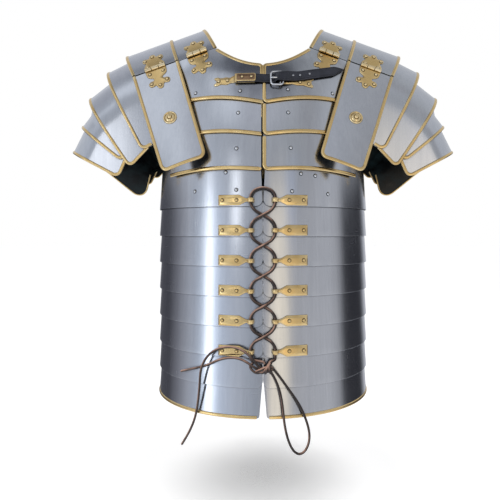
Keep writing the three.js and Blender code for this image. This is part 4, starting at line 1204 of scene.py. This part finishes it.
def add_shoulders():
    yoke = "shoulder_yoke"
    collar_centre = (COLLAR_IN + GUARD_IN) / 2
    guard_centre = (GUARD_IN + GUARD_OUT) / 2
    arch = np.linspace(-ARCH_EDGE, ARCH_EDGE, 41)
    for side_name, side in SIDES:
        collar = arch_surface(side, COLLAR_STEP)
        inner = [(COLLAR_IN + COLLAR_NECK_RUN * top_share(v), v) for v in arch]
        spots = [[(lerp(u, GUARD_IN + GUARD_TUCK, s), v) for s in np.linspace(0, 1, 12)] for u, v in inner]
        bent_sheet(f"collar_{side_name}_sheet", collar, spots, yoke, [f"collar_plate_{side_name}"])
        binding(f"collar_{side_name}_edging", collar, inner, (90, 0), yoke, width=1.1)
        guard = arch_surface(side, 0)
        outer = [(GUARD_OUT + GUARD_TOP_RUN * top_share(v), v) for v in arch]
        spots = [[(lerp(GUARD_IN, u, s), v) for s in np.linspace(0, 1, 14)] for u, v in outer]
        name = f"guard_top_{side_name}"
        bent_sheet(f"{name}_sheet", guard, spots, yoke, [name])
        binding(f"{name}_inner_edging", guard, [(GUARD_IN, v) for v in arch], (150, 0), yoke)
        binding(f"{name}_outer_edging", guard, outer, (150, 0), yoke)
        for face_name, face in FACES:
            end = lambda surface: (lambda u, v: surface(u, -face * (ARCH_EDGE + EDGE_GAP - v)))
            leaf = leaf_surface(side, face)
            body = f"guard_{face_name}_{side_name}"
            label = f"collar_{face_name}_{side_name}"
            add_guard_leaf(body, face, leaf)
            add_hinge(f"{body}_hinge", side, face, guard_centre, 2.5, end(guard), leaf, yoke, body)
            # Dark rods under the hinge gaps: painted shadows.
            add_hinge_shadow_rod(f"{body}_rod", side, face, GUARD_IN + 1.5, GUARD_OUT - 1.5, 2.6)
            add_hinge_shadow_rod(f"{label}_rod", side, face, COLLAR_IN + 1.5, GUARD_IN + 6, 4.4)
            fall = collar_fall(side, face)
            below = f"chest_{side_name}" if face > 0 else yoke
            add_hinge(f"{label}_hinge", side, face, collar_centre, 2.9, end(collar), fall, yoke, below)


ROSETTE = [
    (8.9, -0.4), (8.9, 0.6), (8.4, 1.3), (7.7, 1.5), (7.0, 1.1), (6.6, 0.7), (6.2, 1.2), (5.2, 2.1),
    (4.2, 2.6), (3.4, 2.5), (3.1, 2.1), (2.8, 2.5), (2.7, 3.3), (2.2, 4.0), (1.4, 4.5), (0.6, 4.7),
    (0.05, 4.75),
]


def add_hinge_shadow_rod(label, side, face, start, end, deep):
    """A dark rod under the gap of a hinge, in the inside's finish: a painted shadow seen through the gap."""
    y, n = -face * (HINGE_DEEP - deep), ARCH_TOP - ARCH_DROP - 0.3
    places = [from_shoulder(side, w, y, n) for w in np.linspace(start, end, 12)]
    round_bar(label, np.array(places), 1.5, "inside", "shoulder_yoke")


def add_guard_leaf(body, face, leaf):
    corner = corner_runs(LEAF_CORNER)
    width = GUARD_OUT - GUARD_IN
    columns = corner + [(run, 0.0) for run in np.linspace(LEAF_CORNER, width - LEAF_CORNER, 12)[1:-1]]
    columns += [(width - run, lift) for run, lift in corner[::-1]]
    rows = []
    for share in np.linspace(0, 1, 24):
        row = []
        for run, lift in columns:
            reach = lerp(3 * EDGE_GAP, LEAF_LONG - lift, share)
            row.append((GUARD_IN + run + LEAF_TAPER * (reach / LEAF_LONG) * (1 - run / width), reach))
        rows.append(row)
    bent_sheet(f"{body}_sheet", leaf, rows, body, [body])
    edge = [r[0] for r in rows[:-1]] + rows[-1] + [r[-1] for r in rows[:-1]][::-1]
    binding(f"{body}_edging", leaf, edge, (GUARD_IN + width / 2, 60), body)
    if face > 0:
        middle = ((GUARD_IN + GUARD_OUT) / 2 + LEAF_TAPER / 4, 79)
        out = outward(leaf, *middle)
        places, faces = lathe_parts(ROSETTE, 32, leaf(*middle), out)
        add_piece(f"{body}_rosette", places, faces, "bright_brass", body, sharp=60)


add_shoulders()


# Arm lames
def leg_turn(top_radius, top_angle, leg_radius, leg_angle, share):
    """Angle of an edge that looks straight from the front, a share of the way down the leg."""
    a, b = math.radians(top_angle), math.radians(leg_angle)
    across = top_radius * math.sin(a) * (1 - share) + leg_radius * math.sin(b) * share
    up = top_radius * math.cos(a) * (1 - share) + leg_radius * math.cos(b) * share
    return math.atan2(across, up)


def nested_profile(lame):
    """Reach and depth where a lame tucks in under the one above."""
    if lame == 0:
        return GUARD_REACH - 1, LAME_DEPTHS[0]
    return LAME_RADII[lame - 1] - 2, LAME_DEPTHS[lame - 1] - 2


def lame_surface(lame, side):
    """u runs from the front foot at -2 to the rear foot at 2, and v from the tucked edge at 0 to 2."""

    def point_at(u, row):
        face = 1 if u < 0 else -1
        starts, edges, leg_radii = LAME_LEGS[face]
        radius, depth = nested_profile(lame) if row == 0 else (LAME_RADII[lame], LAME_DEPTHS[lame])
        leg_radius = leg_radii[lame]
        reach = abs(u)
        angle = math.radians(90) * min(1, reach)
        at = LAME_CENTRE + (radius - LAME_CENTRE) * math.cos(angle)
        if reach > 1:
            at = lerp(LAME_CENTRE, leg_radius, reach - 1)
        share = clamp((radius - at) / (radius - leg_radius))
        tops = [LAME_STARTS[lame] - LAME_TUCK, LAME_STARTS[lame], LAME_EDGES[lame]]
        legs = [starts[lame] - LAME_TUCK, starts[lame], edges[lame]]
        turn = leg_turn(radius, tops[row], leg_radius, legs[row], share)
        y = -face * depth * math.sin(angle)
        return np.array([side * (PIVOT[0] + at * math.sin(turn)), y, at * math.cos(turn) + PIVOT[2]])

    def surface(u, v):
        if v <= 1:
            return lerp(point_at(u, 0), point_at(u, 1), v)
        return lerp(point_at(u, 1), point_at(u, 2), v - 1)

    return surface


LAME_CORNER = 9
LAST_REAR_CORNER = 22


def lame_columns(surface, rear_corner):
    """Places along a lame with the lift that rounds its outer corner at each foot."""
    columns = []
    for sign, corner in ((-1, LAME_CORNER), (1, rear_corner)):
        spots = [surface(sign * s, 2) for s in np.linspace(2, 1, 9)]
        length = sum(np.linalg.norm(a - b) for a, b in zip(spots, spots[1:]))
        leg = [(sign * (2 - run / length), lift) for run, lift in corner_runs(corner, 8)]
        start = corner / length
        leg += [(sign * (2 - s), 0.0) for s in np.linspace(start, 1, 8)[1:]]
        columns.append(leg)
    crown = [(u, 0.0) for u in np.linspace(-1, 1, 45)[1:-1]]
    return columns[0] + crown + columns[1][::-1]


def add_lames():
    for side_name, side in SIDES:
        for lame in range(4):
            name = f"arm_lame_{lame + 1}_{side_name}"
            surface = lame_surface(lame, side)
            columns = lame_columns(surface, LAST_REAR_CORNER if lame == 3 else LAME_CORNER)
            rows = []
            for v in [0, 0.5, 1, 1.2, 1.4, 1.6, 1.8, 2]:
                row = []
                for u, lift in columns:
                    span = np.linalg.norm(surface(u, 2) - surface(u, 1))
                    row.append((u, v if v <= 1 else 1 + (v - 1) * (1 - min(0.85, lift / span))))
                rows.append(row)
            bent_sheet(f"{name}_sheet", surface, rows, name, [name])
            front_foot = [r[0] for r in rows[2:]]
            rear_foot = [r[-1] for r in rows[2:]]
            edge = front_foot + rows[-1][1:-1] + rear_foot[::-1]
            binding(f"{name}_edging", surface, edge, (0, 1.5), name, width=0.95, shape=THIN_BACK)


add_lames()


# Leathers inside
def flat_ring(half):
    """The section of a flat leather, from its middle to either side."""
    return [(-half, -1), (-half, 0.6), (-half + 0.6, 1), (half - 0.6, 1), (half, 0.6), (half, -1)]


def add_lame_leathers():
    """Each lame hangs from the one above by its own length of leather."""
    for side_name, side in SIDES:
        crown = [lame_surface(k, side) for k in range(4)]
        stops = [arch_surface(side, STEEL)(GUARD_OUT - 14, 0)]
        stops += [crown[k](0, 1.55 if k < 3 else 1.7) for k in range(4)]
        hub = np.array([side * PIVOT[0], 0, PIVOT[2]])
        for k in range(4):
            start, bend = stops[k], crown[k](0, 0)
            line = smooth_line([start, lerp(start, bend, 0.6), crown[k](0, 0.9), stops[k + 1]], 16)
            places = [p - unit(p - hub) * 2.2 for p in line]
            ups = [unit(p - hub) for p in places]
            name = f"lame_leather_{k + 1}_{side_name}"
            strip = swept(name, np.array(places), ups, flat_ring(12), "black_leather", None)
            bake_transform(strip)
            if k == 0:
                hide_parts(f"lame_leather_{side_name}")


def add_girdle_leathers():
    for side_name, side in SIDES:
        reach = GIRDLE_WIDE - BAND_LEAN * BAND_HEIGHT - 5.4
        levels = np.linspace(TOP_EDGE + 56, TOP_EDGE - 7 * BAND_PITCH + 12, 40)
        places = np.array([[side * reach, 0, z] for z in levels])
        ups = [np.array([side, 0, 0.0])] * len(places)
        name = f"girdle_leather_{side_name}"
        strip = swept(
            f"{name}_strip", places, ups, flat_ring(15), "black_leather", "shoulder_yoke", replaced=[name]
        )
        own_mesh(strip)


add_lame_leathers()
add_girdle_leathers()


# Neck strap
def strap_z(x):
    if x < BUCKLE_OUT:
        return STRAP_LEVEL
    return STRAP_LEVEL + TAIL_RISE * ((x - BUCKLE_OUT) / (TAIL_END - BUCKLE_OUT)) ** 1.15


def breast_surface(face=1):
    """u is the reach from the middle and v the height from the strap's own line."""

    def surface(u, v):
        z = (strap_z(u) if face > 0 else BACK_STRAP_LEVEL) + v
        return np.array([u, -face * top_plate_face(u, z), z])

    return surface


def strap_piece(name, stations, body, replaced, face=1):
    """A leather strap with a groove along each edge, by stations of (reach, lift, half height)."""
    surface = breast_surface(face)
    places = []
    top = STRAP_THICK
    for u, lift, half in stations:
        ring = [(-half, 0.2), (-half, top - 0.5)]
        ring += [(-half + 0.5, top), (-half + 1.3, top), (-half + 1.5, top - 0.25), (-half + 1.7, top)]
        ring += [(half - 1.7, top), (half - 1.5, top - 0.25), (half - 1.3, top), (half - 0.5, top)]
        ring += [(half, top - 0.5), (half, 0.2), (half - 0.4, 0), (-half + 0.4, 0)]
        narrow = half / (STRAP_WIDE / 2) <= 0.9
        out = outward(surface, u, 0)
        for v, rise in ring:
            held = max(-half, min(half, v)) if narrow else v
            places.append(surface(u, held) + out * (lift + rise))
    return add_piece(name, places, ring_faces(len(stations), len(ring)), "black_leather", body, replaced)


HOLE = [(0.9, 0.0), (1.25, 0.1), (1.3, 0.35), (0.9, 0.42), (0.7, 0.1), (0.7, -0.2)]
HOLE_REACHES = [45.5, 57.5, 36.5]


def tail_lift(x):
    return lerp(6.5, 2.0, smooth_step(x, 26, 46))


def add_strap():
    half = STRAP_WIDE / 2
    surface = breast_surface()
    under = [(x, lerp(2.3, 0.9, smooth_step(x, -12, 2)), half) for x in np.linspace(-31.2, 8.5, 28)]
    strap_piece("closure_strap_leather", under, "chest_right", ["closure_strap"])
    # The strap is cut under the buckle's bar, so that the halves can swing apart
    turned = [(x, 0.9, half) for x in np.linspace(8.7, 15.5, 6)]
    strap_piece("strap_turn_leather", turned, "chest_left", [])
    tail = []
    for x in np.linspace(14.0, TAIL_END, 60):
        lift = tail_lift(x) - 4.6 * (1 - smooth_step(x, 13.5, 18.5))
        point = clamp((x - 90) / (TAIL_END - 90))
        tail.append((x, lift, lerp(half + 0.8 * smooth_step(x, 16, 30), 0.6, point**1.25)))
    strap_piece("strap_tail_leather", tail, "chest_left", ["strap_tail"])
    for k, x in enumerate(HOLE_REACHES):
        out = outward(surface, x, 0.0)
        foot = surface(x, 0.0) + out * (tail_lift(x) + STRAP_THICK)
        places, faces = lathe_parts(HOLE, 14, foot, out)
        add_piece(f"strap_tail_hole_{k + 1}", places, faces, "fitting_steel", "chest_left")


def rounded_box(left, right, half, radius, steps=6):
    """The outline of a box with rounded corners."""
    outline = []
    corners = ((right, half, 0), (left, half, 90), (left, -half, 180), (right, -half, 270))
    for x, y, start in corners:
        cx = x - math.copysign(radius, x - (left + right) / 2)
        cy = y - math.copysign(radius, y)
        for t in np.linspace(start, start + 90, steps):
            outline.append((cx + radius * math.cos(math.radians(t)), cy + radius * math.sin(math.radians(t))))
    return outline


CLASP = rounded_box(-33, -9, 5, 2)
CLASP_FACE = rounded_box(-32, -10, 4, 1.4)
HINGE_PLATE = [
    (-33.6, 5.6), (-37.2, 4.6), (-41.5, 2.4), (-46, 3.4), (-50, 2.6), (-53.5, 2.6), (-57, 4.0),
    (-61.4, 3.2), (-61.0, 1.2), (-58.4, -0.6), (-58.6, -3.6), (-62.0, -5.6), (-61.0, -7.6), (-57, -7.4),
    (-53, -5.6), (-49, -6.2), (-45, -6.4), (-40.5, -4.6), (-37, -4.6), (-33.6, -4.6),
]
BUCKLE_PLATE = [
    (22.6, -6.4), (30, -6.6), (36, -6.0), (43, -7.4), (51, -7.0), (57, -8.8), (62.2, -9.4), (63.4, -7.4),
    (60.8, -4.6), (60.8, -0.6), (63.8, 1.2), (63.2, 3.0), (58, 2.2), (52, 1.0), (45, 2.0), (37, 2.0),
    (30, 3.0), (22.6, 3.6),
]


def add_fittings():
    surface = breast_surface()
    right, left = "chest_right", "chest_left"
    cut_plate("strap_clasp_plate", surface, CLASP, 1.2, "brass", right, lift=0.8, pitch=4)
    cut_plate("strap_clasp_upper_plate", surface, CLASP, 1.0, "brass", right, lift=4.3, pitch=4)
    cut_plate(
        "strap_clasp_face", surface, CLASP_FACE, 0.35, "bronze", right, lift=5.25, pitch=4, round_by=0.15
    )
    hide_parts("strap_clasp")
    rivets("strap_clasp_rivets", surface, [(-25.4, 0), (-14, 0)], 1.6, "bright_brass", right, lift=5.5)
    cut_plate("strap_hinge_plate", surface, HINGE_PLATE, 1.1, "brass", right, pitch=3)
    spots = [(-55.4, -1.6), (-44.2, -1.2)]
    rivets("strap_hinge_rivets", surface, spots, 1.9, "bright_brass", right, lift=1.1)
    lift = outward(surface, -33.3, 0) * 2.6
    spine = [surface(-33.3, v) + lift for v in np.linspace(-5.6, 5.6, 8)]
    round_bar("strap_hinge_barrel", np.array(spine), 1.7, "brass", right)
    level = lambda u, v: surface(u, v + STRAP_LEVEL - strap_z(u))
    cut_plate("buckle_back_plate", level, BUCKLE_PLATE, 0.9, "brass", left, lift=0.3, pitch=3)
    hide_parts("buckle_plate")
    rivets("buckle_plate_rivets", level, [(46, -3.6), (57.2, -5.0)], 1.8, "bright_brass", left, lift=1.2)


TONGUE = [(22.6, 4.3), (21.4, 5.6), (18.5, 6.2), (14, 6.8), (11.5, 6.9), (9.4, 6.3)]


def add_buckle():
    """A bent-wire frame with rounded corners, its bar and its tongue."""
    level = STRAP_LEVEL
    half = BUCKLE_HIGH / 2
    face = top_plate_face(BUCKLE_IN, level)
    lean = (top_plate_face(BUCKLE_IN, level - half) - top_plate_face(BUCKLE_IN, level + half)) / BUCKLE_HIGH
    stand = lambda x, rise, lift: np.array([x, -face - lift + lean * rise, level + rise])
    inset = 1.3
    box = rounded_box(BUCKLE_IN + inset, BUCKLE_OUT - inset, half - inset, 3.6, 7)
    frame_wire = smooth_line([stand(x, z, 4.4) for x, z in box], 72, closed=True)
    kind = "fitting_steel"
    replaced = ["buckle_frame"]
    round_bar("buckle_frame_wire", frame_wire, 1.3, kind, "chest_left", closed=True, replaced=replaced)
    bar = [stand(21.4, v, 4.3) for v in np.linspace(inset - half, half - inset, 8)]
    round_bar("buckle_bar", np.array(bar), 1.0, kind, "chest_left")
    tongue = smooth_line([stand(x, 0, lift) for x, lift in TONGUE], 24)
    round_bar("buckle_tongue_wire", tongue, 1.05, kind, "buckle_tongue", replaced=["buckle_tongue"])


def add_back_strap():
    """The strap's ends narrow past the rivets."""
    stations = []
    for x in np.linspace(-60, 60, 60):
        narrowing = 1.2 * (abs(x) - 57) if abs(x) >= 57 else 0
        stations.append((x, 0.9, STRAP_WIDE / 2 - narrowing))
    strap_piece("back_strap_leather", stations, "shoulder_yoke", ["back_strap"], face=-1)
    spots = [(x, 0) for x in (-54, -42, 42, 54)]
    lift = 0.9 + STRAP_THICK
    rivets("back_strap_rivets", breast_surface(-1), spots, 1.8, "brass", "shoulder_yoke", lift=lift)


add_strap()
add_fittings()
add_buckle()
add_back_strap()


# Floor, light and background
FLOOR = -0.640


def add_floor():
    mesh = bpy.data.meshes.new("floor")
    wide = 12
    corners = [(-wide, -wide, FLOOR), (wide, -wide, FLOOR), (wide, wide, FLOOR), (-wide, wide, FLOOR)]
    mesh.from_pydata(corners, [], [(0, 1, 2, 3)])
    floor = bpy.data.objects.new("floor", mesh)
    bpy.context.scene.collection.objects.link(floor)
    material, tree, shader = new_material("pale_floor")
    shader.inputs["Base Color"].default_value = (0.8, 0.8, 0.8, 1)
    shader.inputs["Roughness"].default_value = 0.9
    rays = node(tree, "ShaderNodeLightPath").outputs
    # Painted shadow: the camera sees the floor glow white, and the glow fades where ambient occlusion finds
    # the object above.
    open_share = node(tree, "ShaderNodeAmbientOcclusion", {"Distance": 0.34}, samples=12).outputs["AO"]
    seen = math_node(tree, "MAXIMUM", rays["Is Camera Ray"], rays["Is Transmission Ray"])
    glow_outside_painted_shadow = times(tree, seen, spread(tree, open_share, 0.60, 0.76, 0.0, 0.5))
    glow = node(tree, "ShaderNodeEmission", {"Color": (1, 1, 1, 1), "Strength": glow_outside_painted_shadow})
    both = node(tree, "ShaderNodeAddShader", {0: shader.outputs[0], 1: glow.outputs[0]})
    tree.links.new(both.outputs[0], tree.nodes["Material Output"].inputs["Surface"])
    mesh.materials.append(material)
    floor.visible_glossy = False
    floor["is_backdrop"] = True


# Tone of the studio's cards round the horizon, by degrees from the front toward the wearer's left
CARD_LIGHT = 3.2
CARDS = [
    (-180, (0.20, 0.205, 0.22)), (-150, (0.03, 0.03, 0.035)), (-118, (0.022, 0.022, 0.026)),
    (-98, (0.085, 0.085, 0.095)), (-84, (0.155, 0.16, 0.175)), (-69, (0.165, 0.18, 0.205)),
    (-61, (0.25, 0.29, 0.34)), (-58.5, (0.92, 0.95, 1)), (-53.5, (0.92, 0.95, 1)),
    (-51, (0.34, 0.385, 0.45)), (-42, (0.21, 0.23, 0.265)), (-26, (0.20, 0.21, 0.23)),
    (-4, (0.12, 0.13, 0.145)), (5, (0.13, 0.13, 0.145)), (8, (0.46, 0.405, 0.32)),
    (23, (0.40, 0.355, 0.285)), (28, (0.17, 0.17, 0.175)), (72, (0.20, 0.20, 0.205)),
    (86, (0.14, 0.14, 0.145)), (93, (0.012, 0.012, 0.014)), (132, (0.012, 0.012, 0.014)),
    (150, (0.20, 0.205, 0.22)),
]
MIDDLE_CARDS = [
    (-180, (0.22, 0.225, 0.24)), (-85, (0.22, 0.23, 0.245)), (-60, (0.205, 0.215, 0.235)),
    (-45, (0.17, 0.18, 0.195)), (0, (0.155, 0.16, 0.17)), (30, (0.145, 0.15, 0.155)),
    (48, (0.14, 0.14, 0.145)), (65, (0.19, 0.195, 0.205)), (100, (0.20, 0.205, 0.215)),
]
HIGH_CARDS = [
    (-180, (0.22, 0.225, 0.24)), (-90, (0.155, 0.16, 0.175)), (-60, (0.17, 0.18, 0.195)),
    (-48, (0.29, 0.302, 0.322)), (-30, (0.275, 0.288, 0.308)), (-15, (0.18, 0.185, 0.20)),
    (0, (0.195, 0.20, 0.215)), (32, (0.165, 0.17, 0.178)), (46, (0.13, 0.13, 0.135)),
    (62, (0.16, 0.165, 0.17)), (100, (0.19, 0.195, 0.205)),
]
TOP_CARDS = [
    (-180, (0.16, 0.165, 0.175)), (-92, (0.15, 0.155, 0.165)), (-74, (0.075, 0.08, 0.09)),
    (-50, (0.05, 0.053, 0.062)), (-15, (0.06, 0.062, 0.07)), (32, (0.06, 0.062, 0.068)),
    (46, (0.125, 0.13, 0.137)), (80, (0.14, 0.145, 0.15)),
]


def ring_of(tree, turn, cards):
    """The tones of a ring of cards, read by the direction's turn."""
    ring = node(tree, "ShaderNodeValToRGB", {0: spread(tree, turn, -math.pi, math.pi)})
    ramp = ring.color_ramp
    while len(ramp.elements) > 1:
        ramp.elements.remove(ramp.elements[0])
    for k, (degrees, tone) in enumerate(cards):
        place = (degrees + 180) / 360
        element = ramp.elements[0] if k == 0 else ramp.elements.new(place)
        element.position = place
        element.color = (*tone, 1)
    return ring.outputs[0]


def add_world():
    """White behind the object, and for polished metal four rings of studio cards."""
    world = bpy.data.worlds.new("studio")
    bpy.context.scene.world = world
    world.use_nodes = True
    tree = world.node_tree
    tree.nodes.clear()
    direction = node(tree, "ShaderNodeTexCoord").outputs["Generated"]
    way = node(tree, "ShaderNodeSeparateXYZ", {0: direction}).outputs
    turn = math_node(tree, "ARCTAN2", way[0], times(tree, way[1], -1.0))
    cards = mixed(tree, spread(tree, way[2], -0.35, -0.55), ring_of(tree, turn, CARDS), (0.26, 0.265, 0.28))
    for low, high, ring in ((0.13, 0.24, MIDDLE_CARDS), (0.52, 0.64, HIGH_CARDS), (0.82, 0.9, TOP_CARDS)):
        cards = mixed(tree, spread(tree, way[2], low, high), cards, ring_of(tree, turn, ring))
    rays = node(tree, "ShaderNodeLightPath").outputs
    mirrored = math_node(tree, "MAXIMUM", rays["Is Glossy Ray"], rays["Is Transmission Ray"])
    plain = mixed(tree, rays["Is Camera Ray"], (0.62, 0.62, 0.63), (1, 1, 1))
    colour = mixed(tree, mirrored, plain, cards)
    strength = spread(tree, mirrored, 0.0, 1.0, 1.0, CARD_LIGHT)
    background = node(tree, "ShaderNodeBackground", {"Color": colour, "Strength": strength})
    out = node(tree, "ShaderNodeOutputWorld")
    tree.links.new(background.outputs[0], out.inputs["Surface"])


def add_lamp(name, place, aim, size, power, mirrored=False, tint=(1, 1, 1)):
    data = bpy.data.lights.new(name, "AREA")
    data.shape = "RECTANGLE"
    data.size, data.size_y = size
    data.energy = power
    data.color = tint
    lamp = bpy.data.objects.new(name, data)
    lamp.visible_glossy = mirrored
    lamp.visible_camera = False
    lamp.location = place
    lamp.rotation_euler = (Vector(aim) - Vector(place)).to_track_quat("-Z", "Y").to_euler()
    bpy.context.scene.collection.objects.link(lamp)


def add_lamps():
    add_lamp("overhead_box", (0, -0.1, 1.15), (0, 0, -0.3), (1.1, 0.8), 7)
    add_lamp("left_box", (-1.15, -1.1, 0.35), (0, 0, -0.28), (0.35, 1.1), 6)
    add_lamp("right_box", (1.3, -0.9, 0.5), (0, 0, -0.28), (0.6, 0.9), 4)
    # Two low windows, placed where the arm lames mirror them
    add_lamp("low_window", (-0.58, -1.2, -0.01), (-0.27, -0.08, -0.2), (0.2, 0.32), 0.27, True)
    cool = (0.05, 0.34, 1)
    add_lamp("cool_window", (0.58, -1.2, -0.01), (0.27, -0.08, -0.2), (0.24, 0.34), 0.04, True, cool)


add_floor()
add_world()
add_lamps()
bpy.context.scene.view_settings.view_transform = "Standard"

as_lists = lambda box: [[float(c) for c in corner] for corner in box]
{"cad": as_lists(cad_box), "visual": as_lists(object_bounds())}
